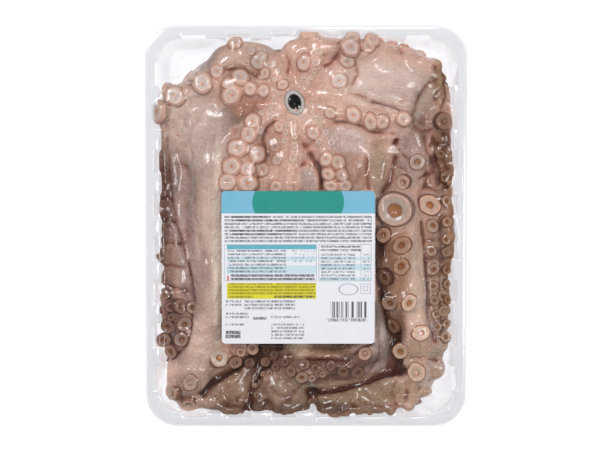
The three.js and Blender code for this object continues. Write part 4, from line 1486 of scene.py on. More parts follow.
@dataclass(frozen=True)
class Flesh:
    """The octopus's body and arms as one closed skin."""

    voxel: float = 1.31
    sides: int = 20
    step: float = 4.0
    web_cells: tuple[int, int] = (24, 14)
    web_thick: float = 6.0
    web_sink: float = 2.5
    web_start: float = 12.0
    fill_cells: tuple[int, int] = (72, 92)
    fill_half: Place = (92.0, 119.0)
    fill_thick: float = 14.0
    fill_rounds: int = 60
    fill_pull: float = 0.35
    fill_drop: float = 1.6
    fill_least: float = 17.0
    lie_step: float = 5.0  # between the sections that tell how the skin lies
    lie_turns: int = 14  # places round each
    lie_near: int = 4  # how many of them tell a vertex's lie
    web_step: float = 4.0
    oral: Colour = linear(222, 180, 160)
    outer: Colour = linear(138, 106, 88)

    def arm(self, arm: Arm) -> bpy.types.Mesh:
        """Sweeps an arm's section along its route.

        Args:
            arm: The arm.

        Returns:
            Its closed mesh.
        """
        rows = arm.sections(self.step)
        turn = np.linspace(0, math.tau, self.sides, endpoint=False)
        rings = []
        for centre, side, lift, radius in zip(rows.centre, rows.side, rows.lift, rows.radius):
            wide = radius * (1.0 + 0.07 * noise.noise(Vector(centre / 9.0)))
            across, upwards = np.outer(np.sin(turn), side), np.outer(np.cos(turn), lift * rows.tall)
            rings.append(centre + (upwards - across) * wide)
        shape = bmesh.new()
        Bench.sleeve(shape, rings)
        Bench.close(shape)
        return Bench.mesh("arm", shape)

    def web(self, one: Arm, reach_one: float, other: Arm, reach_other: float) -> bpy.types.Mesh:
        """A thick web between two arms that sags between them.

        Args:
            one: The first arm.
            reach_one: How far along it the web goes.
            other: The second arm.
            reach_other: How far along it the web goes.

        Returns:
            The closed mesh.
        """
        cells, rows = self.web_cells
        edges = []
        for arm, reach in ((one, reach_one), (other, reach_other)):
            tops, _ = arm.line(2.0)
            travelled = np.linspace(0, (len(tops) - 1) * 2.0, len(tops))
            wanted = np.linspace(self.web_start, reach, cells + 1)
            edges.append(np.column_stack([np.interp(wanted, travelled, tops[:, axis]) for axis in range(3)]))
        shape = bmesh.new()
        for vertex in bmesh.ops.create_grid(shape, x_segments=cells, y_segments=rows, size=0.5)["verts"]:
            along, across = vertex.co.x + 0.5, vertex.co.y + 0.5
            k = round(along * cells)
            point = edges[0][k] * (1 - across) + edges[1][k] * across
            sag = self.web_sink * (1 + math.sin(math.pi * across))
            pleat = 0.5 * math.sin(across * 21.0 + along * 2.0) * along * math.sin(math.pi * across)
            vertex.co = (point[0], point[1], point[2] - sag + pleat)
        Bench.thicken(shape, self.web_thick)
        return Bench.mesh("web", shape)

    @staticmethod
    def lobe(lobe: Lobe) -> bpy.types.Mesh:
        """A rounded lump.

        Args:
            lobe: Its place and size.

        Returns:
            Its closed mesh.
        """
        shape = bmesh.new()
        turn = Matrix.Rotation(math.radians(lobe.turn), 4, "Z")
        place = Matrix.Translation(lobe.centre) @ turn @ Matrix.Diagonal((*lobe.radii, 1.0))
        bmesh.ops.create_uvsphere(shape, u_segments=40, v_segments=24, radius=1.0, matrix=place)
        return Bench.mesh("lobe", shape)

    def filling(self, rough: bpy.types.Mesh) -> bpy.types.Mesh:
        """The flesh pressed into the gaps between the arms, a little below their tops.

        Args:
            rough: The arms, webs and lumps.

        Returns:
            The closed mesh.
        """
        tree = Bench.tree(rough)
        shape = bmesh.new()
        cells, rows = self.fill_cells
        grid = bmesh.ops.create_grid(shape, x_segments=cells, y_segments=rows, size=1.0)["verts"]
        height = np.empty(len(grid))
        for k, vertex in enumerate(grid):
            vertex.co = (vertex.co.x * self.fill_half[0], vertex.co.y * self.fill_half[1], 0.0)
            hit = tree.ray_cast((vertex.co.x, vertex.co.y, SKY), DOWN)[0]
            height[k] = hit.z if hit is not None else 6.0
        floor = height.reshape(rows + 1, cells + 1)
        level = floor
        for _ in range(self.fill_rounds):
            level = np.maximum(settled(level, self.fill_pull), floor)
        drop = self.fill_drop * (2.5 - 1.5 * eased((level - floor) / 3.0))
        for vertex, z in zip(grid, (level - drop).ravel()):
            vertex.co.z = z
        low = [vertex for vertex in grid if vertex.co.z < self.fill_least]
        bmesh.ops.delete(shape, geom=low, context="VERTS")
        Bench.thicken(shape, self.fill_thick)
        return Bench.mesh("filling", shape)

    def skin(self) -> bpy.types.Mesh:
        """Joins arms, webs, lumps and their filling into one even closed skin.

        Returns:
            The mesh in millimetres.
        """
        parts = [self.arm(arm) for arm in ARMS.values()]
        parts += [self.web(ARMS[one], out, ARMS[other], far) for one, out, other, far in WEBS]
        parts += [self.lobe(lobe) for lobe in LOBES]
        arms = Bench.join("arms", parts)
        first = Relief(self._even(Bench.join("rough", [self.filling(arms), arms])))
        first.smooth(4)
        first.write()
        return self._whole(self._even(first.mesh))

    @staticmethod
    def _whole(mesh: bpy.types.Mesh) -> bpy.types.Mesh:
        """Keeps a mesh's largest part and drops the specks beside it.

        Args:
            mesh: The mesh, which is changed.

        Returns:
            The same mesh.
        """
        shape = bmesh.new()
        shape.from_mesh(mesh)
        left = set(shape.verts)
        parts = []
        while left:
            part = [left.pop()]
            for vert in part:  # it grows while it is read
                near = [edge.other_vert(vert) for edge in vert.link_edges]
                fresh = [other for other in near if other in left]
                left.difference_update(fresh)
                part += fresh
            parts.append(part)
        specks = sorted(parts, key=len)[:-1]
        bmesh.ops.delete(shape, geom=[vert for part in specks for vert in part], context="VERTS")
        shape.to_mesh(mesh)
        shape.free()
        return mesh

    def _even(self, mesh: bpy.types.Mesh) -> bpy.types.Mesh:
        """Rebuilds a mesh's outside as one closed skin of even small faces.

        Args:
            mesh: The mesh, which is used up.

        Returns:
            The skin.
        """
        rough = bpy.data.objects.new("rough", mesh)
        bpy.context.scene.collection.objects.link(rough)
        remesh = rough.modifiers.new("even", "REMESH")
        remesh.mode = "VOXEL"
        remesh.voxel_size = self.voxel
        remesh.use_smooth_shade = True
        graph = bpy.context.evaluated_depsgraph_get()
        skin = bpy.data.meshes.new_from_object(rough.evaluated_get(graph))
        bpy.data.objects.remove(rough)
        bpy.data.meshes.remove(mesh)
        return skin

    def sculpt(self, tray: Tray) -> bpy.types.Mesh:
        """Shapes the skin: even, folded, rippled and held in the tray, then painted.

        Args:
            tray: The tray that holds it.

        Returns:
            The mesh in millimetres.
        """
        relief = Relief(self.skin())
        relief.smooth(6)
        relief.smooth(40, SMOOTH)
        relief.ripple(17.0, 2.0, 3.1)
        relief.ripple(8.0, 0.7, 9.4)
        relief.fold(FOLDS)
        beds = (((x - 0.1, y), (x + 0.1, y), radius) for x, y, radius, *_ in SHOWN_SUCKERS)
        relief.fold(Fold((one, other), radius * 1.15, radius * 0.3) for one, other, radius in beds)
        relief.ripple(3.4, 0.3, 21.7)
        relief.ripple(5.5, 2.8, 33.1, CRUMPLED)
        relief.ripple(3.0, 1.0, 51.9, CRUMPLED)
        relief.ripple(3.6, 1.1, 71.3, WARTY)
        relief.ripple(2.6, 0.9, 83.9, CRUMPLED[:2])
        relief.keep_in(tray)
        relief.smooth(1)
        # painted shade: the depth of crevices found in the surface, or the darkness of creases
        relief.keep("painted_shade_depth", np.maximum(relief.hollowness() * 0.7, relief.averaged(relief.crease_shade, 1)))
        outer, grain = self.lie(relief)
        relief.keep("grain", grain)
        relief.keep("outer", outer)
        relief.keep("calm", relief.cover(SMOOTH))
        relief.keep("tone", self.tones(relief, outer))
        relief.write()
        return relief.mesh

    def lie(self, relief: Relief) -> tuple[np.ndarray, np.ndarray]:
        """How the skin lies at each vertex.

        Args:
            relief: The skin.

        Returns:
            How far it faces away from the suckers, from 0 to 1, and its distance along and round its arm.
        """
        step, gap = self.lie_step, self.web_step
        spots, values, frames = [], [], []
        for number, arm in enumerate(ARMS.values()):
            rows = arm.sections(step)
            for k in range(len(rows.radius)):
                axes = np.ravel((rows.tangent[k], rows.side[k], rows.lift[k]))
                for angle in np.linspace(0, math.tau, self.lie_turns, endpoint=False):
                    spots.append(rows.skin(k, angle)[0])
                    values.append(0.5 - 0.5 * math.cos(angle - rows.roll[k]))
                    frames.append((*rows.centre[k], *axes, step * k, rows.radius[k], 9.0 * number))
        for one, out, other, far in WEBS:
            sides = [(ARMS[name].line(gap)[0], reach) for name, reach in ((one, out), (other, far))]
            for along in np.linspace(0.1, 1, 12):
                a, b = (tops[min(len(tops) - 1, round(along * reach / gap))] for tops, reach in sides)
                for across in np.linspace(0.1, 0.9, 9):
                    for drop, value in ((5.0, 0.0), (14.0, 1.0)):
                        spots.append(a * (1 - across) + b * across - np.array((0, 0, drop)))
                        values.append(value)
                        frames.append(None)
        tree = KDTree(len(spots))
        for k, spot in enumerate(spots):
            tree.insert(spot, k)
        tree.balance()
        found = np.empty(len(relief.co))
        nearest = np.zeros(len(relief.co), int)
        for k, point in enumerate(relief.co):
            near = tree.find_n(point, self.lie_near)
            weights = [1.0 / (0.5 + away) ** 2 for _, _, away in near]
            found[k] = sum(w * values[index] for w, (_, index, _) in zip(weights, near)) / sum(weights)
            nearest[k] = next((index for _, index, _ in near if frames[index]), -1)
        table = np.array([frame or (0.0,) * 15 for frame in frames])[nearest]
        off = relief.co - table[:, :3]
        along, side, lift = ((off * table[:, k : k + 3]).sum(axis=1) for k in (3, 6, 9))
        ones = np.ones(len(off))
        turn = np.arctan2(side, lift) * table[:, 13]
        grain = np.column_stack([along + table[:, 12], turn, table[:, 14], ones])
        loose = np.column_stack([relief.co[:, 1], relief.co[:, 0], ones * 0, ones])
        grain = np.where((nearest < 0)[:, None], loose, grain)
        return relief.averaged(found, 3), relief.averaged(grain, 10)

    def tones(self, relief: Relief, outer: np.ndarray) -> np.ndarray:
        """The skin's colour at each vertex before its fine pattern.

        Args:
            relief: The skin.
            outer: How far each vertex faces away from the suckers' side.

        Returns:
            The colours.
        """
        share = eased((outer - 0.3) / 0.45)[:, None]
        tone = np.array(self.oral) * (1 - share) + np.array(self.outer) * share
        upper = eased((relief.co[:, 2] - 14.0) / 12.0)
        for patch in TONES:
            turn = math.radians(patch.turn)
            away = relief.co[:, :2] - patch.centre
            along = away @ np.array((math.cos(turn), math.sin(turn))) / patch.half[0]
            across = away @ np.array((-math.sin(turn), math.cos(turn))) / patch.half[1]
            weight = (eased(1.5 - np.hypot(along, across)) * patch.strength * upper)[:, None]
            tone = tone * (1 - weight) + np.array(patch.colour) * weight
        return tone


# ---- Octopus: suckers, lips and beak ----


@dataclass(frozen=True)
class Sucker:
    """A sucker on the skin, with its skin's colour and whether its cup is open and its outline plain."""

    base: Vector
    facing: Vector
    radius: float
    tone: Colour
    open: bool = False
    plain: bool = False


@dataclass
class Suckers:
    """All the suckers as one piece, with an outsize one among them."""

    near_mouth: float = 1.3
    growth: float = 62.0
    pitch: float = 2.12
    row_offset: float = 1.08
    arm_share: float = 0.62
    outsize: tuple[float, float, float] = (59.5, 11.9, 12.3)
    outsize_from: float = 10.0  # suckers of a larger radius are rounder and finer
    rule_start: float = 12.0  # how far along an arm the rows start
    rule_upper: float = 46.0  # and how far along they stay on its upper side
    rule_spare: float = 4.0  # what they leave free at its tip
    crowding: float = 0.92  # the least distance of two over the sum of their radii
    under_label: float = 47.0
    least_height: float = 16.0
    reach: float = 12.0  # how deep the rows' rays go
    draw: random.Random = field(default_factory=lambda: random.Random(SEED))

    PROFILE = (
        (1.03, -0.55), (1.0, -0.16), (0.97, -0.02), (0.93, 0.08), (0.87, 0.15), (0.8, 0.17), (0.7, 0.13),
        (0.58, 0.1), (0.42, 0.09), (0.34, 0.03), (0.26, -0.05), (0.0, -0.08),
    )
    SOFT = (
        (1.35, -0.36), (1.2, -0.17), (1.08, -0.05), (0.98, 0.04), (0.9, 0.11), (0.8, 0.15), (0.68, 0.16),
        (0.54, 0.14), (0.4, 0.1), (0.28, 0.05), (0.18, -0.03), (0.0, -0.06),
    )
    PLAIN = ((0.84, -0.5), (1.0, 0.02), (0.88, 0.17), (0.6, 0.15), (0.32, 0.08), (0.0, -0.08))

    def place_all(self, flesh: bpy.types.Mesh) -> list[Sucker]:
        """Stands the suckers on the flesh.

        Args:
            flesh: Its mesh in millimetres.

        Returns:
            The suckers.
        """
        self.tree = Bench.tree(flesh)
        self.first_corners = [face.vertices[0] for face in flesh.polygons]
        self.tones = flesh.attributes["tone"].data
        made = [self._snap(self.outsize, True)]
        made += [self._snap(sucker, self._is_open(*sucker[:2])) for sucker in SHOWN_SUCKERS]
        shown = [sucker for sucker in made if sucker is not None]
        return shown + self._by_rule(shown)

    @staticmethod
    def _is_open(x: float, y: float) -> bool:
        """Whether a sucker's cup gapes, as on the right arm and at the lower end."""
        return (x > 46 and y < 60) or x > 90 or y < -45

    def _tone(self, place: Vector) -> Colour:
        """The skin's colour nearest a place."""
        _, _, face, _ = self.tree.find_nearest(place)
        return tuple(self.tones[self.first_corners[face]].color)

    def _snap(self, sucker: Sequence[float], wide: bool) -> Sucker | None:
        """Lays one sucker on the surface below its place.

        Args:
            sucker: Its x, y and radius, and for a leaning one its angle and heading in degrees.
            wide: Whether its cup is open.

        Returns:
            The sucker, or None off the flesh.
        """
        x, y, radius, *lean = sucker
        hits = []
        for reach, count in ((0.0, 1), (0.75, 8)):
            for k in range(count):
                angle = math.tau * k / count
                start = (x + reach * radius * math.cos(angle), y + reach * radius * math.sin(angle), SKY)
                place, normal, _, _ = self.tree.ray_cast(start, DOWN)
                if place is not None and place.z > self.least_height:
                    hits.append((place, normal))
        if not hits:
            return None
        facing = sum((normal for _, normal in hits), Vector()).normalized()
        heights = sorted(place.z for place, _ in hits)
        base = Vector((x, y, heights[len(heights) * 2 // 3]))
        if lean:
            tilt, heading = (math.radians(angle) for angle in lean)
            level = math.sin(tilt)
            aimed = Vector((level * math.cos(heading), level * math.sin(heading), math.cos(tilt)))
            facing = (facing * 0.35 + aimed).normalized()
        else:
            facing = (facing + UP * 0.55).normalized()
        return Sucker(base, facing, radius, self._tone(base), wide)

    def _by_rule(self, shown: Sequence[Sucker]) -> list[Sucker]:
        """The two alternating rows of each arm, where nothing else stands.

        Args:
            shown: The suckers that already stand.

        Returns:
            The further suckers.
        """
        taken = [(sucker.base, sucker.radius) for sucker in shown]
        made = []
        for arm in ARMS.values():
            rows = arm.sections(1.0)
            row, at = 1, self.rule_start
            while at < rows.length - self.rule_spare:
                k = min(round(at), len(rows.radius) - 1)
                grown = min(1.0, at / self.growth)
                late = float(eased(2 * rows.share[k] - 1))
                full = arm.suckers[0] * (1 - late) + arm.suckers[1] * late
                held = min(full, rows.radius[k] * self.arm_share)
                radius = self.near_mouth + (held - self.near_mouth) * grown
                angle = rows.roll[k] + row * self.row_offset * radius / rows.radius[k]
                at += self.pitch * radius / 2
                row = -row
                point, out = rows.skin(k, angle)
                start = Vector(point + out * 7.0)
                place, normal, _, _ = self.tree.ray_cast(start, Vector(-out), self.reach)
                if self._has_room(place, normal, out, at, radius, taken):
                    taken.append((place, radius))
                    size = radius * (0.92 if self._faces_up(place, normal) else 0.8)
                    wide = self._is_open(place.x, place.y)
                    made.append(Sucker(place, normal, size, self._tone(place), wide, True))
        return made

    @staticmethod
    def _faces_up(place: Vector, normal: Vector) -> bool:
        """Whether a place lies on the upper side."""
        return normal.z > 0.45 and place.z > 26

    def _has_room(
        self, place: Vector | None, normal: Vector, out: np.ndarray, at: float, radius: float, taken: list
    ) -> bool:
        """Whether a sucker can stand at a place.

        Args:
            place: The place on the skin, or None off it.
            normal: The skin's direction there.
            out: The way out of the arm.
            at: How far along the arm it is.
            radius: The sucker's radius.
            taken: The places and radii of the others.

        Returns:
            True where nothing is in its way.
        """
        if place is None or place.z < 5 or normal.dot(Vector(out)) < 0.3:
            return False
        if self._faces_up(place, normal) and at > self.rule_upper:
            return False
        if any((place - base).length < (radius + other) * self.crowding for base, other in taken):
            return False
        off = max(abs(place.x - LABEL_MIDDLE[0]), abs(place.y - LABEL_MIDDLE[1]))
        return off >= self.under_label or normal.z <= 0.2

    def shape(self, sucker: Sucker) -> bpy.types.Mesh:
        """Turns one sucker and sets it on the flesh.

        Args:
            sucker: Where it stands.

        Returns:
            Its mesh, with its rings numbered for the finish.
        """
        outsize = sucker.radius > self.outsize_from
        outline = self.PLAIN if sucker.plain else (self.PROFILE if sucker.open else self.SOFT)
        steps = 10 if sucker.plain else (48 if outsize else 20)
        shape = Bench.turned(outline, steps)
        ring = shape.verts.layers.float.new("ring")
        opened = shape.verts.layers.float.new("open")
        tone = shape.verts.layers.float_color.new("tone")
        draw = self.draw
        state = draw.uniform(0.75, 1.0) if sucker.open else draw.uniform(0.0, 0.35)
        firm = 0.3 if outsize else 1.0
        stretch = (1 + firm * draw.uniform(-0.1, 0.1), 1 + firm * draw.uniform(-0.1, 0.1))
        slide = Vector((draw.uniform(-0.1, 0.1), draw.uniform(-0.1, 0.1), 0))
        wave = draw.random() * 6.0
        hole = draw.uniform(0.85, 1.1) if sucker.open else draw.uniform(0.35, 0.6)
        last = len(outline) - 1
        for vertex in shape.verts:
            x, y, height = vertex.co
            radial, angle = math.hypot(x, y), math.atan2(y, x)
            off = [abs(point[0] - radial) + abs(point[1] - height) for point in outline]
            inner = off.index(min(off))
            vertex[ring] = (last - inner) / last
            vertex[opened] = state
            vertex[tone] = sucker.tone
            dent = 1 + firm * (0.05 * math.sin(2 * angle + wave) + 0.03 * math.sin(5 * angle + 2 * wave))
            dent *= hole if 0.0 < radial < 0.4 else 1.0
            dented = Vector((x * stretch[0] * dent, y * stretch[1] * dent, height))
            vertex.co = dented + slide * max(0.0, 1 - radial)
        turn = sucker.facing.to_track_quat("Z", "Y").to_matrix().to_4x4()
        twist = Matrix.Rotation(draw.random() * math.tau, 4, "Z")
        base = Matrix.Translation(sucker.base + sucker.facing * (0.12 * sucker.radius))
        place = base @ turn @ twist @ Matrix.Scale(sucker.radius, 4)
        bmesh.ops.transform(shape, matrix=place, verts=shape.verts)
        return Bench.mesh("sucker", shape)

    def build(self, flesh: bpy.types.Mesh, finish: SuckerSkin) -> bpy.types.Object:
        """Builds all the suckers on the flesh's mesh in millimetres."""
        mesh = Bench.join("suckers", [self.shape(sucker) for sucker in self.place_all(flesh)])
        return Bench.piece("suckers", mesh, finish.material(), [], "octopus_flesh")


@dataclass(frozen=True)
class Mouth:
    """The lips' ring and the beak's two mandibles, in millimetres."""

    centre: Place = (-7.5, 83.0)
    tilt: float = 17.0
    lip_radii: Place = (5.55, 7.45)
    lip_top: float = 43.3
    beak_radii: Place = (4.25, 5.7)
    beak_top: float = 42.8
    beak_bottom: float = 33.0

    def _set(self, shape: bmesh.types.BMesh, radii: Place, z: float) -> None:
        """Stretches a turned shape to an oval and sets it in the mouth.

        Args:
            shape: The turned shape of radius 1 and of height in millimetres.
            radii: The oval's radii.
            z: The height that its zero comes to.
        """
        turn = Matrix.Rotation(math.radians(self.tilt), 4, "Z")
        place = Matrix.Translation((*self.centre, z)) @ turn @ Matrix.Diagonal((*radii, 1.0, 1.0))
        bmesh.ops.transform(shape, matrix=place, verts=shape.verts)

    def lips(self, finish: SuckerSkin) -> bpy.types.Object:
        """Builds the wrinkled ring of lips.

        Args:
            finish: Their skin.

        Returns:
            The piece.
        """
        outline = (
            (1.3, -7.0), (1.22, -3.0), (1.12, -1.1), (1.04, -0.35), (0.95, 0.0), (0.86, -0.15), (0.79, -0.6),
            (0.75, -1.4), (0.73, -3.0), (0.72, -6.0),
        )
        shape = Bench.turned(outline, 48)
        for vertex in shape.verts:
            angle = math.atan2(vertex.co.y, vertex.co.x)
            pucker = 0.02 * math.sin(17 * angle) + 0.015 * math.sin(29 * angle + 1)
            vertex.co.xy *= 1 + pucker
            vertex.co.z += 6 * pucker
        self._set(shape, self.lip_radii, self.lip_top)
        return Bench.piece("lips", Bench.mesh("lips", shape), finish.material(), [], "octopus_flesh")

    def beak(self, finish: WetHorn) -> bpy.types.Object:
        """Builds the closed beak with the slit between its mandibles.

        Args:
            finish: Its horn.

        Returns:
            The piece.
        """
        rise = self.beak_top - self.beak_bottom
        outline = (
            (0.0, 0.0), (0.9, 0.0), (1.0, 0.1 * rise), (1.0, 0.7 * rise), (0.92, 0.84 * rise),
            (0.74, 0.93 * rise), (0.5, 0.98 * rise), (0.25, rise), (0.0, rise),
        )
        shape = Bench.turned(outline, 32)
        for vertex in shape.verts:
            slit = math.exp(-(((vertex.co.x - 0.12 * math.sin(2 * vertex.co.y)) / 0.16) ** 2))
            if vertex.co.z > 0.6 * rise:
                vertex.co.z -= 1.3 * slit
        self._set(shape, self.beak_radii, self.beak_bottom)
        return Bench.piece("beak", Bench.mesh("beak", shape), finish.material(), ["beak"], "beak_horn")


# ---- Film and label ----


@dataclass(frozen=True)
class Film:
    """The clear skin film: sealed on the flange and drawn down over the flesh."""

    inset: float = 1.0
    seal: float = 3.0
    thick: float = 0.2
    lift: float = 0.25
    across: int = 164
    along: int = 206
    rounds: int = 100
    pull: float = 0.16  # how far the vacuum draws it down in a round of easing
    flat_top: float = 46.3

    def build(
        self, tray: Tray, carriers: Sequence[bpy.types.Object], label: "Label", finish: ClearPlastic
    ) -> bpy.types.Object:
        """Builds the film.

        Args:
            tray: The tray that it is sealed to.
            carriers: The pieces that it lies on, in metres.
            label: The label, under which it is flat.
            finish: Its plastic.

        Returns:
            The piece.
        """
        shape = bmesh.new()
        grid = bmesh.ops.create_grid(shape, x_segments=self.across, y_segments=self.along, size=1.0)["verts"]
        half = np.array((tray.width, tray.length)) / 2 - self.inset
        radius = tray.corner_radius(self.inset)
        plan = np.array([self._fit(v.co.x, v.co.y, *half, radius) for v in grid])
        under = self._highest_near(self._heights(plan, carriers))
        inwards = half - np.abs(plan)
        corner = np.hypot(*np.maximum(radius - inwards, 0).T)
        edge = np.minimum(inwards.min(axis=1), np.where(corner > 0, radius - corner, np.inf))
        sealed = edge < self.seal
        base = tray.depth + 0.15
        least = np.where(edge < tray.flange, base, -np.inf)
        floor = np.where(sealed, base, np.maximum(under + self.lift, least))
        flat = np.abs(plan - LABEL_MIDDLE).max(axis=1) < label.size / 2 + 2
        floor = np.minimum(np.where(flat, self.flat_top, floor), self.flat_top)
        floor = floor.reshape(self.along + 1, self.across + 1)
        held = (sealed | flat).reshape(floor.shape)
        height = np.maximum(floor, base)
        for _ in range(self.rounds):
            height = np.where(held, floor, np.maximum(settled(height, self.pull), floor))
        height = np.where(held, floor, self._evened(height, 1))
        for vertex, (x, y), z in zip(grid, plan, height.ravel()):
            vertex.co = (x, y, z)
        Bench.thicken(shape, self.thick)
        return Bench.piece("film", Bench.mesh("film", shape), finish.material(), ["film"], "film_plastic")

    def _highest_near(self, heights: np.ndarray) -> np.ndarray:
        """Each place's height or that of a higher neighbour, with the steps evened out.

        Args:
            heights: The heights of the grid's places.

        Returns:
            The raised heights.
        """
        sheet = np.pad(heights.reshape(self.along + 1, self.across + 1), 1, "edge")
        rows, columns = sheet.shape
        shifts = [sheet[i : rows - 2 + i, j : columns - 2 + j] for i in range(3) for j in range(3)]
        return self._evened(np.max(shifts, axis=0), 2).ravel()

    @staticmethod
    def _evened(sheet: np.ndarray, rounds: int) -> np.ndarray:
        """A grid of heights without its steps.

        Args:
            sheet: The heights.
            rounds: How many times each takes its neighbours' mean.

        Returns:
            The evened heights.
        """
        for _ in range(rounds):
            wide = np.pad(sheet, 1, "edge")
            rows = (wide[:-2] + 2 * wide[1:-1] + wide[2:]) / 4
            sheet = (rows[:, :-2] + 2 * rows[:, 1:-1] + rows[:, 2:]) / 4
        return sheet

    @staticmethod
    def _fit(x: float, y: float, half_width: float, half_length: float, radius: float) -> Place:
        """Draws a square grid's point into a rounded rectangle.

        Args:
            x: The point's x, from -1 to 1.
            y: Its y, from -1 to 1.
            half_width: The rectangle's half width.
            half_length: Its half length.
            radius: Its corners' radius.

        Returns:
            The point's place.
        """
        px, py = x * half_width, y * half_length
        cx, cy = abs(px) - (half_width - radius), abs(py) - (half_length - radius)
        if cx > 0 and cy > 0:
            shrink = max(cx, cy) / math.hypot(cx, cy)
            px = math.copysign(half_width - radius + cx * shrink, px)
            py = math.copysign(half_length - radius + cy * shrink, py)
        return px, py

    @staticmethod
    def _heights(plan: np.ndarray, carriers: Sequence[bpy.types.Object]) -> np.ndarray:
        """The highest of the carriers at each place, in millimetres.

        Args:
            plan: The places.
            carriers: The pieces.

        Returns:
            The heights, near the floor where nothing stands.
        """
        found = np.full(len(plan), 2.0)
        for carrier in carriers:
            tree = Bench.tree(carrier.data, MM)
            for k, (x, y) in enumerate(plan):
                place = tree.ray_cast((x, y, SKY), DOWN)[0]
                if place is not None:
                    found[k] = max(found[k], place.z)
        return found


@dataclass(frozen=True)
class Label:
    """The square label on the film, with rounded corners and its upper and lower edges eased."""

    size: float = 102.0
    corner: float = 2.5
    edge: float = 0.1

    def build(self, finish: PrintedPaper) -> bpy.types.Object:
        """Builds the label where its CAD node lies.

        Args:
            finish: Its print.

        Returns:
            The piece.
        """
        low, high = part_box("label")
        shape = bmesh.new()
        bmesh.ops.create_grid(shape, x_segments=1, y_segments=1, size=self.size / 2)
        eased_off = {"offset_type": "OFFSET", "profile": 0.5, "material": -1}
        corners = {"geom": shape.verts[:], "offset": self.corner, "affect": "VERTICES", "segments": 8}
        bmesh.ops.bevel(shape, **corners, **eased_off)
        made = bmesh.ops.extrude_face_region(shape, geom=shape.faces[:])["geom"]
        top = [part for part in made if isinstance(part, bmesh.types.BMVert)]
        bmesh.ops.translate(shape, verts=top, vec=(0, 0, (high.z - low.z) / MM))
        bmesh.ops.recalc_face_normals(shape, faces=shape.faces)
        sharp = [edge for edge in shape.edges if edge.calc_face_angle(0.0) > 1.0]
        rims = [edge for edge in sharp if abs(edge.verts[0].co.z - edge.verts[1].co.z) < 1e-6]
        bmesh.ops.bevel(shape, geom=rims, offset=self.edge, affect="EDGES", segments=2, **eased_off)
        bmesh.ops.translate(shape, verts=shape.verts, vec=(*LABEL_MIDDLE, low.z / MM))
        mesh = Bench.mesh("label", shape)
        mesh.shade_flat()
        return Bench.piece("label", mesh, finish.material(), ["label"], "label_paper")


# ---- Studio ----


@dataclass(frozen=True)
class Studio:
    """The floor, the soft lights and the camera over the pack, in metres and degrees."""

    distance: float = 1.4
    tilt: float = 4.0
    target: float = 0.038  # the height that the camera looks at
    lit: float = 0.03  # and the one that the lights face
    floor_half: float = 2000.0  # millimetres
    floor_gap: float = 0.4  # millimetres
    scale: float = 0.669  # millimetres of the tray's flange to one step of the frame's 600 across
    frame_size: tuple[int, int] = (600, 450)
    sensor: float = 36.0
    tray_middle: Place = (306.0, 226.85)
    world: float = 0.26

    def floor(self, finish: PaleFloor) -> None:
        """Lays the floor under the pack.

        Args:
            finish: Its colour.
        """
        shape = bmesh.new()
        place = Matrix.Translation((0, 0, -self.floor_gap))
        bmesh.ops.create_grid(shape, x_segments=8, y_segments=8, size=self.floor_half, matrix=place)
        mesh = Bench.mesh("floor", shape)
        mesh.transform(Matrix.Scale(MM, 4))
        mesh.materials.append(finish.material())
        floor = bpy.data.objects.new("floor", mesh)
        bpy.context.scene.collection.objects.link(floor)

    def light(self, name: str, place: tuple[float, float, float], size: float, power: float) -> None:
        """Hangs a soft square light that faces the pack.

        Args:
            name: Its name.
            place: Where it hangs.
            size: Its side.
            power: Its power in watts.
        """
        lamp = bpy.data.lights.new(name, "AREA")
        lamp.shape = "SQUARE"
        lamp.size = size
        lamp.energy = power
        made = bpy.data.objects.new(name, lamp)
        made.location = place
        made.rotation_mode = "QUATERNION"
        made.rotation_quaternion = (UP * self.lit - Vector(place)).to_track_quat("-Z", "Y")
        bpy.context.scene.collection.objects.link(made)

    def build(self) -> None:
        """Sets up the surroundings, the lights and the camera."""
        scene = bpy.context.scene
        scene.view_settings.view_transform = "Standard"
        world = bpy.data.worlds.new("studio")
        world.use_nodes = True
        sky = world.node_tree.nodes["Background"].inputs
        sky[0].default_value = WHITE
        sky[1].default_value = self.world
        scene.world = world
        self.light("key", (-0.44, 0.4, 1.05), 0.23, 5.4)
        self.light("side", (0.52, -0.1, 1.0), 0.23, 3.3)
        self.light("over", (0.1, 0.42, 1.3), 0.19, 2.5)
        lens = bpy.data.cameras.new("camera")
        camera = bpy.data.objects.new("camera", lens)
        scene.collection.objects.link(camera)
        lean = math.radians(self.tilt)
        camera.location = UP * self.target + Vector((0, math.sin(lean), math.cos(lean))) * self.distance
        camera.rotation_euler = (-lean, 0, 0)
        width, height = self.frame_size
        lens.sensor_width = self.sensor
        lens.lens = self.sensor * self.distance / (width * self.scale * MM)
        lens.shift_x = (width / 2 - self.tray_middle[0]) / width
        lens.shift_y = (self.tray_middle[1] - height / 2) / width
        scene.camera = camera


# ---- The whole pack ----

CLEAR = linear(253, 253, 254)
TRAY_PLASTIC = ClearPlastic("tray_plastic", CLEAR, 0.08, 0.5, 0.8, 0.3, 0.05, 9.0, 0.05)
FILM_PLASTIC = ClearPlastic("film_plastic", CLEAR, 0.001, 0.0, 0.34, 0.13, 0.12, 4.0, 0.11)
FLESH_SKIN = WetFlesh(
    name="octopus_skin",
    # painted shade of crevices and creases, then the redder painted shade of hollows
    deep_shade_colour=linear(74, 30, 16),
    redder_shade_colour=linear(218, 158, 132),
    veil=(1.42, 1.48, 1.5, 1.0),
    blush=(0.72, 0.59, 0.54, 1.0),
    speck=linear(70, 48, 40),
    wrinkle=1.3,
)
SUCKER_SKIN = SuckerSkin(
    "sucker_skin",
    # an open sucker's cup, disc, rim and a wall of painted shade, then a shut one's
    ((0.29, 0.17, 0.06, 1.0), (0.45, 0.49, 0.48, 1.0), (0.52, 0.49, 0.46, 1.0), (0.22, 0.16, 0.13, 1.0)),
    ((0.5, 0.37, 0.225, 1.0), (0.42, 0.515, 0.575, 1.0), (0.52, 0.58, 0.61, 1.0), (0.51, 0.49, 0.48, 1.0)),
)
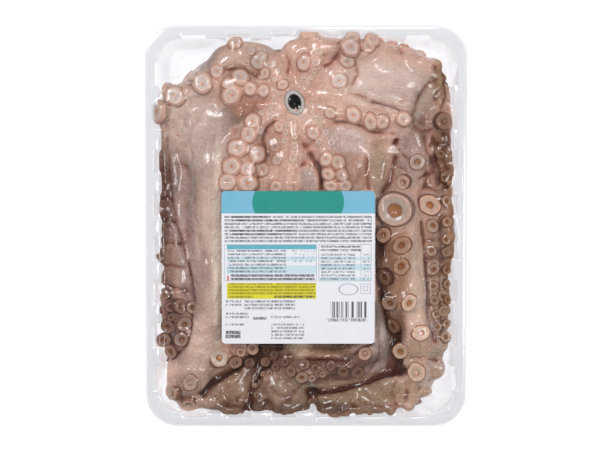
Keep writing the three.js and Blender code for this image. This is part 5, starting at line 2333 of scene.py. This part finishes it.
# the lips' cup, disc, rim and a wall of painted shade
LIP_RING = ((0.4, 0.4, 0.4, 1.0), (0.42, 0.42, 0.42, 1.0), (0.45, 0.45, 0.45, 1.0), (0.3, 0.26, 0.23, 1.0))
LIP_SKIN = SuckerSkin("lip_skin", LIP_RING, LIP_RING, linear(208, 202, 196))
BEAK_HORN = WetHorn("beak_horn", linear(14, 12, 12), linear(60, 42, 32))
LABEL_PRINT = PrintedPaper(
    name="label_print",
    paper=linear(242, 242, 247),
    fields=(
        (Ink.BAND, -51, 36, 51, 51), (Ink.BAR, -47.5, 12.2, 12, 15.1), (Ink.PALE, -47.5, 4.5, 12, 7.3),
        (Ink.PALE, -47.5, -4.1, 12, 1.3), (Ink.PALE, 14, 4.9, 48.5, 7.3), (Ink.PALE, 14, -1.7, 48.5, 2.3),
        (Ink.PALE, 14, -8.7, 48.5, -6.5), (Ink.YELLOW, -47.5, -20.9, 12, -10.3),
        (Ink.RED, -47.2, -8.9, -46.2, -5.3),
    ),
    rows=(
        (Ink.TEXT, -49, 16.5, 49, 34.9, 2.3, 0.66, 0.85), (Ink.DARK, -44, 32.6, -20, 34.9, 2.3, 0.5, 0.75),
        (Ink.DARK, -44, 30.3, 0, 32.6, 2.3, 0.5, 0.75), (Ink.DARK, -44, 23.4, -4, 25.7, 2.3, 0.5, 0.75),
        (Ink.DARK, -44, 21.1, -10, 23.4, 2.3, 0.5, 0.75), (Ink.TEXT, -47, -3.8, -8, 12.3, 2.3, 0.6, 0.8),
        (Ink.TEXT, -4, 3.1, 11, 12.3, 2.3, 0.6, 0.5), (Ink.DARK, 15, 10.5, 42, 15.1, 2.3, 0.6, 0.8),
        (Ink.TEXT, 15, -8.7, 38, 10.3, 2.3, 0.6, 0.75), (Ink.TEXT, 43, -8.7, 47.5, 10.3, 2.3, 0.6, 0.6),
        (Ink.DARK, -45, -8.8, 11, -4.2, 2.3, 0.7, 0.95),
        (Ink.OLIVE, -47, -18.3, 11.5, -10.5, 2.15, 0.72, 0.9),
        (Ink.OLIVE, -47, -20.7, -30, -18.5, 2.2, 0.7, 0.9), (Ink.DARK, -16, -20.5, 11, -18.5, 2, 0.8, 0.9),
        (Ink.TEXT, -48.5, -26.1, -38, -21.5, 2.3, 0.6, 0.75),
        (Ink.TEXT, -36, -28.4, -2, -21.5, 2.3, 0.66, 0.8),
        (Ink.TEXT, -48.5, -34.3, -33, -29.7, 2.3, 0.6, 0.75),
        (Ink.DARK, -30, -35.3, -21, -32.7, 2.6, 0.7, 0.9), (Ink.TEXT, -18, -34.3, 1, -32, 2.3, 0.6, 0.75),
        (Ink.TEXT, -48.5, -39.3, -36, -37, 2.3, 0.6, 0.7),
        (Ink.DARK, -48.5, -47.5, -38.5, -42.1, 2.7, 0.85, 0.98),
        (Ink.TEXT, -18, -48.5, 4, -37, 2.3, 0.62, 0.75), (Ink.TEXT, 19.5, -36.5, 46, -33.7, 2.8, 0.8, 0.75),
    ),
    frames=(
        (-49.3, -9.1, 12.3, 15.5), (13.6, -9.1, 48.7, 15.5), (41.6, -9.1, 48.7, 15.5),
        (41.4, -17.7, 48.2, -10.9), (43.2, -15.5, 46.4, -12.5),
    ),
    panel=(-30.5, 36, 30.5, 51, 2.0),
    bars=(21.4, -33.6, 46.0, -22.8),
    oval=(33.4, -14.6, 6.2, 3.7),
)
FLOOR_FINISH = PaleFloor("floor_matt", linear(170, 170, 170), 0.97)


def main() -> None:
    """Builds the pack and its studio."""
    logging.basicConfig(level=logging.INFO, format="%(message)s")
    tray, mouth, label = Tray(), Mouth(), Label()
    tray.build(TRAY_PLASTIC)
    flesh_mesh = Flesh().sculpt(tray)
    suckers = Suckers().build(flesh_mesh, SUCKER_SKIN)
    flesh = Bench.piece("flesh", flesh_mesh, FLESH_SKIN.material(), ["octopus"], "octopus_flesh")
    lips = mouth.lips(LIP_SKIN)
    mouth.beak(BEAK_HORN)
    Film().build(tray, [flesh, suckers, lips], label, FILM_PLASTIC)
    label.build(LABEL_PRINT)
    studio = Studio()
    studio.floor(FLOOR_FINISH)
    studio.build()


if __name__ == "__main__":
    main()
